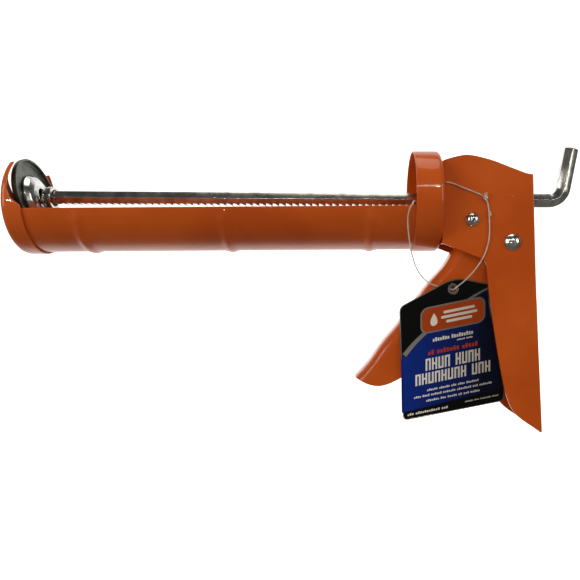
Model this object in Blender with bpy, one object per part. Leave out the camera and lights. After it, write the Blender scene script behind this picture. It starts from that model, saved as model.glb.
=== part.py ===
# Caulking gun: half-barrel cradle, stamped channel handle, toothed hexagonal rod.
#
# Lengths are in millimetres here and become metres when a mesh is stored.
# +X points to the rod's hook, +Z is up. The design datum is the barrel's axis
# (Y = Z = 0) and the collar's back face (X = 0). The stored model is shifted so
# that its origin is the grip point on the handle's rear web.

import math

import bmesh
import bpy
from mathutils import Matrix, Vector

# ---------------------------------------------------------------- driving sizes
gap = 0.3                    # space kept between pieces that touch
running = 0.3                # radial clearance of a turning or sliding piece

cradle_length = 230.5        # front cap's face to the collar's back face
trough_inner_r = 25.8        # takes a 50 mm cartridge
trough_sheet = 0.8
trough_lip_drop = 5.5        # the trough's edges lie this far below the axis
cradle_droop_deg = 0.4       # the cradle leans down to its front by this much
rib_count = 3
rib_height = 1.0
rib_width = 6.0

cap_depth = 11.0
cap_sheet = 0.8
cap_corner_r = 3.0
cap_lip_drop = 3.0           # top of the band's full-height part, below the axis
notch_r = 10.5               # round bottom of the nozzle notch
horn_tip_z = 19.0

collar_depth = 14.8
collar_sheet = 0.8
collar_corner_r = 2.5

rod_flats = 7.5
rod_rise_deg = 0.35          # the rod rises to its front by this much
rod_web_z = 0.4              # rod's height where it leaves the rear web
tooth_pitch = 3.7
tooth_depth = 1.4
tooth_lead = 7.5             # plain rod ahead of the first tooth
tenon_r = 2.5
hook_straight = 11.5         # rod behind the handle before its bend
hook_bend_r = 8.5
hook_bend_deg = 79.0
hook_leg = 23.0              # straight part of the turned-up end

handle_half_width = 15.0
rear_web_x = 50.3            # rear web's outer face at the height of the rod
handle_sheet = 1.2
handle_fold_r = 3.0          # front folds, beside the collar
handle_bend_r = 2.0          # rear bends, along the web
handle_window = 8.5          # half the space between the two welded front flanges

trigger_half_width = 11.0
trigger_sheet = 1.2
trigger_bend_r = 6.0
trigger_foot_bulge = 4.3

pivot = (38.0, -23.8)        # trigger's axis, X and Z
pivot_shank_r = 2.4
pivot_head_r = 4.5
front_rivet = (16.5, -11.7)
front_shank_r = 2.0
front_head_r = 3.7
head_rise = 2.2

pawl_pin = (41.0, -12.7)
pawl_pin_r = 2.0
pawl_half_width = 3.0
pawl_clear = 0.72            # pawl's nose below the rod's corners at rest

disc_r = 21.5
disc_sheet = 1.2
disc_bore_r = 4.3            # loose on the rod's tenon, so the disc rocks
disc_lean_deg = 13.0         # its top leans forward on the notch
disc_from_face = 3.9         # disc's centre behind the cap's front face
cup_r = 12.5
cup_height = 4.5
hub_from_disc = 7.4          # the loose disc's cup rocks ahead of the washer
washer_thick = 1.0
rod_collar_length = 3.0

tag_thick = 0.5
tag_y = -12.85
tag_hole = (6.5, -49.0)
eyelet_r = 2.4
eyelet_bore_r = 1.6

string_d = 0.7
knot_r = 1.0

grip = Vector((51.3, 0.0, -62.0))

# ---------------------------------------------------------------- worked-out sizes
trough_outer_r = trough_inner_r + trough_sheet
cap_outer_r = trough_outer_r + gap + cap_sheet
collar_outer_r = trough_outer_r + gap + collar_sheet
cap_face_x = -cradle_length
rod_corner_r = rod_flats / math.sqrt(3.0)
rod_hole_r = rod_corner_r + running
handle_front_x = gap
trigger_inner_half = trigger_half_width - trigger_sheet
handle_inner_half = handle_half_width - handle_sheet
disc_x = cap_face_x + disc_from_face
hub_x = disc_x + hub_from_disc
rod_front_x = hub_x + washer_thick + gap
rod_collar_z = rod_web_z + rear_web_x * math.tan(math.radians(rod_rise_deg))
collar_hole_r = rod_hole_r + rod_collar_z


# ---------------------------------------------------------------- helpers
def clear_scene():
    for thing in list(bpy.data.objects):
        bpy.data.objects.remove(thing, do_unlink=True)


def finish(name, rgb, metallic, roughness):
    material = bpy.data.materials.new(name)
    material.use_nodes = True
    shader = material.node_tree.nodes["Principled BSDF"]
    shader.inputs["Base Color"].default_value = (*rgb, 1.0)
    shader.inputs["Metallic"].default_value = metallic
    shader.inputs["Roughness"].default_value = roughness
    material.diffuse_color = (*rgb, 1.0)
    return material


def store(bm, name, material, origin=(0.0, 0.0, 0.0)):
    # Keeps the mesh relative to its own origin and turns millimetres into metres.
    mesh = bpy.data.meshes.new(name)
    bmesh.ops.translate(bm, vec=-Vector(origin), verts=bm.verts)
    bmesh.ops.scale(bm, vec=(0.001, 0.001, 0.001), verts=bm.verts)
    bmesh.ops.recalc_face_normals(bm, faces=bm.faces)
    if bm.calc_volume(signed=True) < 0.0:
        bmesh.ops.reverse_faces(bm, faces=bm.faces)
    bm.to_mesh(mesh)
    bm.free()
    mesh.shade_smooth()
    mesh.set_sharp_from_angle(angle=math.radians(30.0))
    thing = bpy.data.objects.new(name, mesh)
    thing.location = (Vector(origin) - grip) * 0.001
    bpy.context.scene.collection.objects.link(thing)
    if material:
        mesh.materials.append(material)
    return thing


def cut(thing, bm, name):
    cutter = store(bm, name, None)
    cutter.hide_render = True
    cutter.display_type = "WIRE"
    step = thing.modifiers.new(name, "BOOLEAN")
    step.operation = "DIFFERENCE"
    step.solver = "EXACT"
    step.object = cutter
    return cutter


def prism(outline, low_y, high_y):
    # Solid between two Y planes with an outline of (x, z) points.
    bm = bmesh.new()
    face = bm.faces.new([bm.verts.new((x, low_y, z)) for x, z in outline])
    grown = bmesh.ops.extrude_face_region(bm, geom=[face])
    moved = [item for item in grown["geom"] if isinstance(item, bmesh.types.BMVert)]
    bmesh.ops.translate(bm, vec=(0.0, high_y - low_y, 0.0), verts=moved)
    bmesh.ops.recalc_face_normals(bm, faces=bm.faces)
    return bm


def round_edges(bm, wanted, radius, segments):
    chosen = [edge for edge in bm.edges if wanted(edge)]
    bmesh.ops.bevel(bm, geom=chosen, offset=radius, segments=segments, profile=0.5,
                    affect="EDGES", material=-1, clamp_overlap=True)


def turned(profile, segments, centre=(0.0, 0.0, 0.0), direction=(1.0, 0.0, 0.0)):
    # Turns a closed outline of (along, radius) points about an axis.
    bm = bmesh.new()
    ring = [bm.verts.new((along, 0.0, radius)) for along, radius in profile]
    edges = [bm.edges.new((a, b)) for a, b in zip(ring, ring[1:])]
    if profile[0][1] > 0.0 or profile[-1][1] > 0.0:
        edges.append(bm.edges.new((ring[-1], ring[0])))
    bmesh.ops.spin(bm, geom=ring + edges, cent=(0, 0, 0), axis=(1, 0, 0),
                   angle=math.tau, steps=segments, use_merge=True)
    bmesh.ops.remove_doubles(bm, verts=bm.verts, dist=1e-4)
    bmesh.ops.recalc_face_normals(bm, faces=bm.faces)
    turn = Vector((1, 0, 0)).rotation_difference(Vector(direction)).to_matrix()
    bmesh.ops.rotate(bm, cent=(0, 0, 0), matrix=turn, verts=bm.verts)
    bmesh.ops.translate(bm, vec=centre, verts=bm.verts)
    return bm


def across(profile, place, segments=24):
    # The same, about a line through (x, z) that runs along Y.
    return turned(profile, segments, (place[0], 0.0, place[1]), (0.0, 1.0, 0.0))


def rod_cutter(place, radius, half_length, segments=24):
    ends = [(-half_length, 0.0), (-half_length, radius), (half_length, radius), (half_length, 0.0)]
    return across(ends, place, segments)


def sheet_between(outer_rows, inner_rows):
    # Closed shell between two matching grids of points, with its four rims.
    bm = bmesh.new()
    outer = [[bm.verts.new(p) for p in row] for row in outer_rows]
    inner = [[bm.verts.new(p) for p in row] for row in inner_rows]
    for grid in (outer, inner):
        for low, high in zip(grid, grid[1:]):
            for k in range(len(low) - 1):
                bm.faces.new((low[k], low[k + 1], high[k + 1], high[k]))
    for k in range(len(outer[0]) - 1):
        for row in (0, -1):
            bm.faces.new((outer[row][k], outer[row][k + 1], inner[row][k + 1], inner[row][k]))
    for i in range(len(outer) - 1):
        for k in (0, -1):
            bm.faces.new((outer[i][k], outer[i + 1][k], inner[i + 1][k], inner[i][k]))
    bmesh.ops.recalc_face_normals(bm, faces=bm.faces)
    return bm


def through(points, steps):
    # Smooth open curve through the points, with a number of steps in each span.
    rail = [Vector(p) for p in points]
    rail = [rail[0] * 2 - rail[1]] + rail + [rail[-1] * 2 - rail[-2]]
    curve = []
    for a, b, c, d in zip(rail, rail[1:], rail[2:], rail[3:]):
        for k in range(steps):
            t = k / steps
            curve.append(0.5 * ((2 * b) + (c - a) * t + (2 * a - 5 * b + 4 * c - d) * t * t
                                + (3 * b - a - 3 * c + d) * t * t * t))
    curve.append(rail[-2])
    return curve


def evenly(curve, count):
    # The same curve with points at equal distances.
    reach = [0.0]
    for a, b in zip(curve, curve[1:]):
        reach.append(reach[-1] + (b - a).length)
    placed = []
    k = 0
    for i in range(count):
        goal = reach[-1] * i / (count - 1)
        while k < len(curve) - 2 and reach[k + 1] < goal:
            k += 1
        share = (goal - reach[k]) / (reach[k + 1] - reach[k])
        placed.append(curve[k].lerp(curve[k + 1], min(max(share, 0.0), 1.0)))
    return placed


def wire(name, points, diameter, material, side_steps):
    # Round wire or string along the points.
    data = bpy.data.curves.new(name, "CURVE")
    data.dimensions = "3D"
    data.bevel_depth = diameter / 2000.0
    data.bevel_resolution = side_steps
    data.use_fill_caps = True
    line = data.splines.new("POLY")
    line.points.add(len(points) - 1)
    for spot, place in zip(line.points, points):
        spot.co = (*(Vector(place) * 0.001), 1.0)
    thing = bpy.data.objects.new(name, data)
    thing.location = -grip * 0.001
    bpy.context.scene.collection.objects.link(thing)
    data.materials.append(material)
    return thing


def joint(name, place):
    # Empty on a joint's axis; the pieces that move together hang on it.
    mark = bpy.data.objects.new(name, None)
    mark.empty_display_size = 0.01
    mark.location = (Vector(place) - grip) * 0.001
    bpy.context.scene.collection.objects.link(mark)
    return mark


def hang(parent, *children):
    # Parents without moving anything: no joint mark is turned or scaled.
    for child in children:
        world = child.location.copy()
        holder = parent
        while holder:
            world = world - holder.location
            holder = holder.parent
        child.parent = parent
        child.location = world


def drooped(bm):
    # Leans a piece of the cradle down to the front, about the collar's back face.
    turn = Matrix.Rotation(math.radians(-cradle_droop_deg), 3, "Y")
    bmesh.ops.rotate(bm, cent=(0, 0, 0), matrix=turn, verts=bm.verts)
    return bm


def on_rod_line(bm):
    # Moves a piece from the X axis onto the rod's own line.
    turn = Matrix.Rotation(math.radians(rod_rise_deg), 3, "Y")
    bmesh.ops.rotate(bm, cent=(rear_web_x, 0, 0), matrix=turn, verts=bm.verts)
    bmesh.ops.translate(bm, vec=(0, 0, rod_web_z), verts=bm.verts)
    return bm


def rod_point(x):
    turn = math.radians(rod_rise_deg)
    back = rear_web_x - x
    return (rear_web_x - back * math.cos(turn), 0.0, rod_web_z + back * math.sin(turn))


# ---------------------------------------------------------------- cradle
def trough_rows(radius):
    start = math.asin(trough_lip_drop / trough_outer_r)
    back = -collar_corner_r
    front = cap_face_x + cap_corner_r
    rib_steps = (-1.0, -0.5, 0.0, 0.5, 1.0)
    stations = [(front, 0.0)]
    for rib in range(rib_count):
        middle = cap_face_x + (rib + 0.5) * cradle_length / rib_count
        for share in rib_steps:
            rise = rib_height * math.cos(share * math.pi / 2) ** 2
            stations.append((middle + share * rib_width / 2, rise))
    stations.append((back, 0.0))
    arc_steps = 26
    rows = []
    for x, rise in stations:
        row = []
        for k in range(arc_steps + 1):
            angle = math.pi + start + (math.pi - 2 * start) * k / arc_steps
            fade = min(1.0, min(k, arc_steps - k) / 4.0)
            r = radius + rise * fade
            row.append((x, r * math.cos(angle), r * math.sin(angle)))
        rows.append(row)
    return rows


def make_trough(paint):
    bm = sheet_between(trough_rows(trough_outer_r), trough_rows(trough_inner_r))
    return store(drooped(bm), "cradle_trough", paint)


def corner(centre_x, centre_r, radius, start_deg, end_deg, steps=4):
    points = []
    for k in range(steps + 1):
        angle = math.radians(start_deg + (end_deg - start_deg) * k / steps)
        points.append((centre_x + radius * math.cos(angle), centre_r + radius * math.sin(angle)))
    return points


def make_cap(paint):
    inside_r = cap_corner_r - cap_sheet
    profile = [(cap_face_x, 0.0)]
    profile += corner(cap_face_x + cap_corner_r, cap_outer_r - cap_corner_r, cap_corner_r, 180, 90)
    profile += [(cap_face_x + cap_depth, cap_outer_r), (cap_face_x + cap_depth, cap_outer_r - cap_sheet)]
    profile += corner(cap_face_x + cap_corner_r, cap_outer_r - cap_corner_r, inside_r, 90, 180)
    profile += [(cap_face_x + cap_sheet, 0.0)]
    cap = store(drooped(turned(profile, 52)), "front_cap", paint)
    back = cap_face_x + cap_depth
    far = cap_outer_r + 6.0
    # The band's rear edge: full height up to the lip, then swept forward into two horns.
    sweep = through([(back - 1.6, 0, -cap_lip_drop), (back - 5.2, 0, -cap_lip_drop + 3.0),
                     (back - 7.6, 0, 6.0), (back - 8.6, 0, 12.0), (back - 9.7, 0, horn_tip_z + 1.0)], 4)
    outline = [(back + 4.0, -cap_lip_drop - 2.2), (back, -cap_lip_drop - 2.2)]
    outline += [(p.x, p.z) for p in sweep]
    outline += [(back - 9.7, far), (back + 4.0, far)]
    cut(cap, drooped(prism(outline, -far, far)), "cap_sweep_cutter")
    # The nozzle notch: round bottom, flared sides, narrowing to the horns' tips.
    side = [(notch_r, -2.0), (12.6, 0.0), (15.5, 4.0), (19.5, 10.0), (18.9, 14.0), (16.8, horn_tip_z - 1.4),
            (18.8, horn_tip_z + 0.8), (18.8, far)]
    bottom = [(notch_r * math.cos(math.radians(a)), -2.0 + notch_r * math.sin(math.radians(a)))
              for a in range(-165, -14, 15)]
    loop = [(-y, z) for y, z in reversed(side)] + bottom + side
    bm = prism(loop, -5.0, 10.0)
    bmesh.ops.transform(bm, matrix=Matrix(((0, 1, 0, cap_face_x), (1, 0, 0, 0), (0, 0, 1, 0), (0, 0, 0, 1))),
                        verts=bm.verts)
    bmesh.ops.recalc_face_normals(bm, faces=bm.faces)
    cut(cap, drooped(bm), "cap_notch_cutter")
    # Everything above the horns' tips goes.
    top = prism([(cap_face_x - 2, horn_tip_z + 1.0), (back + 2, horn_tip_z + 1.0), (back + 2, far),
                 (cap_face_x - 2, far)], -far, far)
    cut(cap, drooped(top), "cap_top_cutter")
    return cap


def make_collar(paint):
    inside_r = collar_corner_r - collar_sheet
    middle = (-collar_corner_r, collar_outer_r - collar_corner_r)
    profile = [(0.0, collar_hole_r)]
    profile += corner(*middle, collar_corner_r, 0, 90)
    profile += [(-collar_depth, collar_outer_r), (-collar_depth, collar_outer_r - collar_sheet)]
    profile += corner(*middle, inside_r, 90, 0)
    profile += [(-collar_sheet, collar_hole_r)]
    return store(turned(profile, 52), "rear_collar", paint)


# ---------------------------------------------------------------- handle
def handle_outline():
    top = [(2.0, 20.5), (8.0, 22.2), (14.8, 23.0), (25.7, 20.6), (36.0, 16.8), (45.2, 13.3), (49.3, 12.6)]
    rear = [(50.7, -43.8), (52.2, -83.6), (54.0, -125.9)]
    front = through([(54.0, 0, -125.9), (44.9, 0, -120.4), (38.4, 0, -114.6), (34.6, 0, -106.0),
                     (32.0, 0, -94.0), (28.6, 0, -74.0), (25.6, 0, -52.0), (24.0, 0, -36.5)], 3)[1:]
    foot = [(22.6, -33.0), (handle_front_x, -24.4)]
    return top, rear, [(p.x, p.z) for p in front] + foot


def make_handle(paint):
    top, rear, front = handle_outline()
    outline = [(handle_front_x, 19.6)] + top + rear + front
    bm = prism(outline, -handle_half_width, handle_half_width)
    rear_line = [top[-1]] + rear

    def on_side(edge):
        return all(abs(abs(v.co.y) - handle_half_width) < 1e-3 for v in edge.verts)

    def along(edge, line):
        return on_side(edge) and all(min(math.dist((v.co.x, v.co.z), p) for p in line) < 1e-3
                                     for v in edge.verts) and edge.calc_length() > 1e-3 \
            and abs(edge.verts[0].co.y - edge.verts[1].co.y) < 1e-3

    round_edges(bm, lambda e: along(e, rear_line), handle_bend_r, 3)
    front_line = [(handle_front_x, 19.6), (handle_front_x, -24.4)]
    round_edges(bm, lambda e: along(e, front_line), handle_fold_r, 4)
    frame = store(bm, "handle_frame", paint)
    # The channel's inside, open at the top, the bottom and the handle's front.
    t = handle_sheet
    hollow = [(handle_front_x + t, 60.0), (top[-1][0] - t - 0.5, 60.0), (top[-1][0] - t, top[-1][1])]
    hollow += [(x - t, z) for x, z in rear[:-1]]
    last = rear[-1]
    hollow += [(last[0] - t + 0.6, last[1] - 14.0), (handle_front_x + t, last[1] - 14.0)]
    inner = prism(hollow, -handle_inner_half, handle_inner_half)
    rear_inner = hollow[1:-1]
    front_inner = [hollow[0], hollow[-1]]

    def inner_edge(edge, line):
        same_side = abs(edge.verts[0].co.y - edge.verts[1].co.y) < 1e-3
        return same_side and all(min(math.dist((v.co.x, v.co.z), p) for p in line) < 1e-3
                                 for v in edge.verts) and edge.calc_length() > 1e-3

    round_edges(inner, lambda e: inner_edge(e, rear_inner), handle_bend_r - t, 2)
    round_edges(inner, lambda e: inner_edge(e, front_inner), handle_fold_r - t, 3)
    cut(frame, inner, "handle_hollow_cutter")
    window = prism([(-3.0, 40.0), (handle_front_x + t + 2.5, 40.0), (handle_front_x + t + 2.5, -40.0),
                    (-3.0, -40.0)], -handle_window, handle_window)
    cut(frame, window, "handle_window_cutter")
    reach = handle_half_width + 4.0
    cut(frame, rod_cutter(pivot, pivot_shank_r + gap, reach), "handle_pivot_cutter")
    cut(frame, rod_cutter(front_rivet, front_shank_r + gap, reach), "handle_front_rivet_cutter")
    exit_hole = turned([(30.0, 0.0), (30.0, rod_hole_r), (60.0, rod_hole_r), (60.0, 0.0)], 32)
    cut(frame, on_rod_line(exit_hole), "handle_rod_cutter")
    return frame


def make_rivet(name, place, shank_r, head_r, metal):
    seat = handle_half_width + gap
    dome = [(seat + head_rise * math.sin(math.radians(a)), head_r * math.cos(math.radians(a)))
            for a in (0, 25, 50, 70)]
    profile = [(-p[0], p[1]) for p in reversed(dome)] + [(-seat, shank_r), (seat, shank_r)] + dome
    profile = [(-seat - head_rise, 0.0)] + profile + [(seat + head_rise, 0.0)]
    return store(across(profile, place, 28), name, metal, (place[0], 0.0, place[1]))


def make_spacer(metal):
    half = handle_inner_half - gap
    bore = front_shank_r + gap
    wall = bore + 1.0
    profile = [(-half, bore), (-half, wall), (half, wall), (half, bore)]
    return store(across(profile, front_rivet, 20), "front_spacer", metal)


# ---------------------------------------------------------------- trigger and pawl
def trigger_rows():
    # Finger side and rear edge of the trigger, from the pawl's end to the foot.
    finger = [(37.5, -7.2), (27.0, -12.2), (15.5, -19.0), (8.2, -27.5), (2.6, -36.3), (-5.4, -45.2),
              (-14.8, -57.8), (-23.2, -68.9), (-31.3, -78.5), (-36.9, -86.6), (-41.3, -92.2), (-46.2, -97.4)]
    rear = [(45.2, -9.2), (47.2, -15.0), (46.0, -24.0), (41.0, -33.5), (31.0, -43.5), (19.5, -54.5),
            (7.5, -69.5), (-3.0, -82.5), (-11.0, -90.5), (-16.5, -94.5), (-19.5, -96.2), (-21.8, -97.4)]
    fingers = through([(x, 0, z) for x, z in finger], 2)
    rears = through([(x, 0, z) for x, z in rear], 2)
    bulges = [0.0] * (len(fingers) - 3) + [0.25 * trigger_foot_bulge, 0.6 * trigger_foot_bulge,
                                           trigger_foot_bulge]
    return fingers, rears, bulges


def trigger_grid(half, bend, inset):
    fingers, rears, bulges = trigger_rows()
    rows = []
    for web, back, bulge in zip(fingers, rears, bulges):
        way = (back - web).normalized()
        down = Vector((way.z, 0.0, -way.x))
        start = web + way * inset
        depth = (back - start).length
        side = []
        for share in (0.0, 0.3, 0.6, 0.85):
            reach = bend + (depth - bend) * (1.0 - share)
            lift = bulge * math.sin(math.pi * min(1.0, (reach + inset) / (depth + inset)))
            side.append((start + way * reach + down * lift, half))
        round_part = []
        for k in range(6):
            turn = math.radians(90.0 * k / 5)
            reach = bend * (1.0 - math.sin(turn))
            y = half - bend + bend * math.cos(turn)
            lift = bulge * math.sin(math.pi * min(1.0, (reach + inset) / (depth + inset)))
            round_part.append((start + way * reach + down * lift, y))
        half_row = side + round_part
        row = [(p.x, -y, p.z) for p, y in half_row]
        row += [(p.x, y, p.z) for p, y in reversed(half_row)]
        rows.append(row)
    return rows


def make_trigger(paint):
    outer = trigger_grid(trigger_half_width, trigger_bend_r, 0.0)
    inner = trigger_grid(trigger_inner_half, trigger_bend_r - trigger_sheet, trigger_sheet)
    origin = (pivot[0], 0.0, pivot[1])
    trigger = store(sheet_between(outer, inner), "trigger", paint, origin)
    # The web stops below the pawl, so the pawl and the holding leaf have room.
    slot = prism([(4.0, 0.0), (60.0, 0.0), (60.0, -14.0), (30.0, -14.0), (18.5, -22.5), (6.0, -24.0)],
                 -trigger_inner_half + 0.4, trigger_inner_half - 0.4)
    cut(trigger, slot, "trigger_slot_cutter")
    reach = trigger_half_width + 3.0
    cut(trigger, rod_cutter(pivot, pivot_shank_r + running, reach), "trigger_pivot_cutter")
    cut(trigger, rod_cutter(pawl_pin, pawl_pin_r + gap, reach), "trigger_pin_cutter")
    return trigger


def make_pawl(metal):
    px, pz = pawl_pin
    nose_z = -rod_corner_r - pawl_clear
    eye = 3.7
    outline = [(px + eye * math.cos(math.radians(a)), pz + eye * math.sin(math.radians(a)))
               for a in range(-150, 91, 20)]
    outline += [(px - 2.4, pz + 3.6), (px - 6.6, nose_z), (px - 8.4, nose_z - 0.5), (px - 7.6, nose_z - 3.4)]
    bm = prism(outline, -pawl_half_width, pawl_half_width)
    pawl = store(bm, "drive_pawl", metal, (px, 0.0, pz))
    cut(pawl, rod_cutter(pawl_pin, pawl_pin_r + running, pawl_half_width + 2.0), "pawl_bore_cutter")
    return pawl


def make_pawl_pin(metal):
    seat = trigger_half_width + gap
    head = seat + 0.8
    head_r = pawl_pin_r + 0.9
    profile = [(-head, 0.0), (-head, head_r - 0.4), (-seat, head_r), (-seat, pawl_pin_r),
               (seat, pawl_pin_r), (seat, head_r), (head, head_r - 0.4), (head, 0.0)]
    return store(across(profile, pawl_pin, 20), "pawl_pin", metal, (pawl_pin[0], 0.0, pawl_pin[1]))


def coil(place, radius, low_y, high_y, turns, start_deg, end_deg, per_turn=10):
    steps = int(turns * per_turn)
    sweep = turns * 360.0 + end_deg - start_deg
    line = []
    for k in range(steps + 1):
        angle = math.radians(start_deg + sweep * k / steps)
        line.append((place[0] + radius * math.cos(angle), low_y + (high_y - low_y) * k / steps,
                     place[1] + radius * math.sin(angle)))
    return line


def make_return_spring(metal):
    wire_d = 1.2
    coil_r = pivot_shank_r + 1.0 + wire_d / 2
    turns = coil(pivot, coil_r, -5.0, 5.0, 6, 100.0, 10.0)
    moving = [(7.2, -5.0, -36.2), (13.0, -5.0, -33.2), (20.0, -5.0, -28.6), (28.0, -5.0, -23.0)]
    fixed = [(45.0, 5.0, -29.0), (48.0, 5.0, -41.0)]
    return wire("return_spring", moving + turns + fixed, wire_d, metal, 1)


def make_pawl_spring(metal):
    wire_d = 0.7
    coil_r = pawl_pin_r + 0.6 + wire_d / 2
    turns = coil(pawl_pin, coil_r, 4.2, 7.6, 3, 150.0, 300.0)
    nose = [(33.6, 4.2, -8.8), (36.4, 4.2, -9.2)]
    stay = [(38.0, 7.6, -18.2), (30.0, 7.6, -18.6)]
    return wire("pawl_spring", nose + turns + stay, wire_d, metal, 1)


def make_leaf(metal):
    # Holding leaf: hooked round the front spacer, its free end just below the rod's teeth.
    thick = 0.6
    fx, fz = front_rivet
    inner_r = front_shank_r + 2 * gap + 1.0
    outer_r = inner_r + thick
    top = -rod_corner_r - gap - 0.1
    hook = [(fx + outer_r * math.cos(math.radians(a)), fz + outer_r * math.sin(math.radians(a)))
            for a in range(210, 59, -15)]
    back = [(fx + inner_r * math.cos(math.radians(a)), fz + inner_r * math.sin(math.radians(a)))
            for a in range(60, 211, 15)]
    tip = [(fx + 5.6, fz + 4.2), (fx + 8.0, top), (fx + 8.4, top - 0.5), (fx + 5.9, fz + 3.4)]
    return store(prism(hook + tip + back, -4.0, 4.0), "holding_leaf", metal)


# ---------------------------------------------------------------- rod and piston
def hex_section(depth):
    # Hexagon with flats at top and bottom, its bottom flat raised by a depth.
    r = rod_corner_r
    h = rod_flats / 2
    low = -h + depth
    wide = r + low / math.sqrt(3.0)
    return [(r, 0.0), (r / 2, h), (-r / 2, h), (-r, 0.0), (-wide, low), (wide, low)]


def make_rod(metal):
    start = rod_front_x
    teeth_end = rear_web_x - 3.0
    rows = [(start, 0.5, 0.0)]
    rows.append((start + 0.5, 0.0, 0.0))
    x = start + tooth_lead
    while x + tooth_pitch < teeth_end:
        rows.append((x, 0.0, tooth_depth))
        rows.append((x + tooth_pitch - 0.3, 0.0, 0.0))
        x += tooth_pitch
    rows.append((x, 0.0, 0.0))
    bm = bmesh.new()
    loops = []

    def add_loop(centre, up, shrink, depth):
        scale = 1.0 - shrink / rod_corner_r
        loops.append([bm.verts.new(centre + Vector((0, y * scale, 0)) + up * (z * scale))
                      for y, z in hex_section(depth)])

    up = Vector((0, 0, 1))
    for x, shrink, depth in rows:
        add_loop(Vector((x, 0, 0)), up, shrink, depth)
    bend_x = rear_web_x + hook_straight
    steps = 8
    for k in range(steps + 1):
        turn = math.radians(hook_bend_deg * k / steps)
        centre = Vector((bend_x + hook_bend_r * math.sin(turn), 0, hook_bend_r * (1 - math.cos(turn))))
        add_loop(centre, Vector((-math.sin(turn), 0, math.cos(turn))), 0.0, 0.0)
    turn = math.radians(hook_bend_deg)
    way = Vector((math.cos(turn), 0, math.sin(turn)))
    last = centre
    add_loop(last + way * (hook_leg - 0.6), Vector((-math.sin(turn), 0, math.cos(turn))), 0.0, 0.0)
    add_loop(last + way * hook_leg, Vector((-math.sin(turn), 0, math.cos(turn))), 0.6, 0.0)
    for low, high in zip(loops, loops[1:]):
        for k in range(6):
            bm.faces.new((low[k], low[(k + 1) % 6], high[(k + 1) % 6], high[k]))
    bm.faces.new(loops[-1])
    # The front end is turned down to a round tenon that carries the piston.
    ring = [bm.verts.new((start, tenon_r * math.cos(math.radians(a)), tenon_r * math.sin(math.radians(a))))
            for a in range(0, 360, 30)]
    tip = [bm.verts.new((cap_face_x + 0.3, v.co.y, v.co.z)) for v in ring]
    for k in range(12):
        bm.faces.new((ring[k], ring[(k + 1) % 12], tip[(k + 1) % 12], tip[k]))
    bm.faces.new(tip)
    front_edges = [bm.edges.get((loops[0][k], loops[0][(k + 1) % 6])) for k in range(6)]
    ring_edges = [bm.edges.get((ring[k], ring[(k + 1) % 12])) for k in range(12)]
    bmesh.ops.bridge_loops(bm, edges=front_edges + ring_edges)
    return store(on_rod_line(bm), "ratchet_rod", metal)


def leaned(bm):
    # Tips a piece of the disc about its own centre, on the rod's line.
    turn = Matrix.Rotation(math.radians(-disc_lean_deg), 3, "Y")
    bmesh.ops.rotate(bm, cent=(disc_x, 0, 0), matrix=turn, verts=bm.verts)
    return on_rod_line(bm)


def make_disc(metal):
    half = disc_sheet / 2
    rim = 2.2
    profile = [(-half, disc_bore_r), (-half, disc_r - 1.6), (-half + 0.5, disc_r - 0.5),
               (half, disc_r), (half + rim, disc_r), (half + rim, disc_r - disc_sheet),
               (half + 0.4, disc_r - disc_sheet - 0.2), (half, disc_r - disc_sheet - 0.8), (half, disc_bore_r)]
    bm = leaned(turned(profile, 44, (disc_x, 0, 0)))
    return store(bm, "thrust_disc", metal, rod_point(disc_x))


def make_cup(metal):
    low = disc_sheet / 2 + gap
    high = low + cup_height
    wall = 1.0
    profile = [(low, cup_r), (low + wall, cup_r), (low + 0.68 * cup_height, cup_r - 1.7),
               (high, cup_r - 4.4), (high, disc_bore_r), (high - wall, disc_bore_r),
               (high - wall, cup_r - 4.8), (low + 0.68 * cup_height - wall, cup_r - 2.5), (low, cup_r - 1.3)]
    bm = leaned(turned(profile, 32, (disc_x, 0, 0)))
    return store(bm, "disc_cup", metal, rod_point(disc_x))


def make_ring(name, low_x, high_x, bore_r, outer_r, metal, segments=32):
    profile = [(low_x, bore_r), (low_x, outer_r - 0.3), (low_x + 0.3, outer_r), (high_x - 0.3, outer_r),
               (high_x, outer_r - 0.3), (high_x, bore_r)]
    return store(on_rod_line(turned(profile, segments)), name, metal)


# ---------------------------------------------------------------- tag and string
def tag_outline():
    # Gabled card with rounded corners; its foot and print slope with the string's pull.
    corners = [(-22.6, -58.8, 3.0), (-20.5, -120.0, 3.0), (33.9, -109.2, 3.0), (35.6, -48.2, 3.0),
               (7.2, -42.6, 7.0)]
    outline = []
    for k, (x, z, r) in enumerate(corners):
        before = Vector(corners[k - 1][:2]) - Vector((x, z))
        after = Vector(corners[(k + 1) % len(corners)][:2]) - Vector((x, z))
        start = Vector((x, z)) + before.normalized() * r
        end = Vector((x, z)) + after.normalized() * r
        for step in range(5):
            t = step / 4
            spot = start * (1 - t) ** 2 + Vector((x, z)) * 2 * t * (1 - t) + end * t ** 2
            outline.append((spot.x, spot.y))
    return outline


def make_tag(card):
    bm = prism(tag_outline(), tag_y - tag_thick / 2, tag_y + tag_thick / 2)
    tag = store(bm, "hang_tag", card)
    cut(tag, rod_cutter(tag_hole, eyelet_r + gap, 20.0), "tag_hole_cutter")
    return tag


def make_eyelet(metal):
    half = tag_thick / 2 + 0.15
    profile = [(tag_y - half, eyelet_bore_r), (tag_y - half, eyelet_r), (tag_y + half, eyelet_r),
               (tag_y + half, eyelet_bore_r)]
    return store(across(profile, tag_hole, 20), "tag_eyelet", metal)


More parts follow.
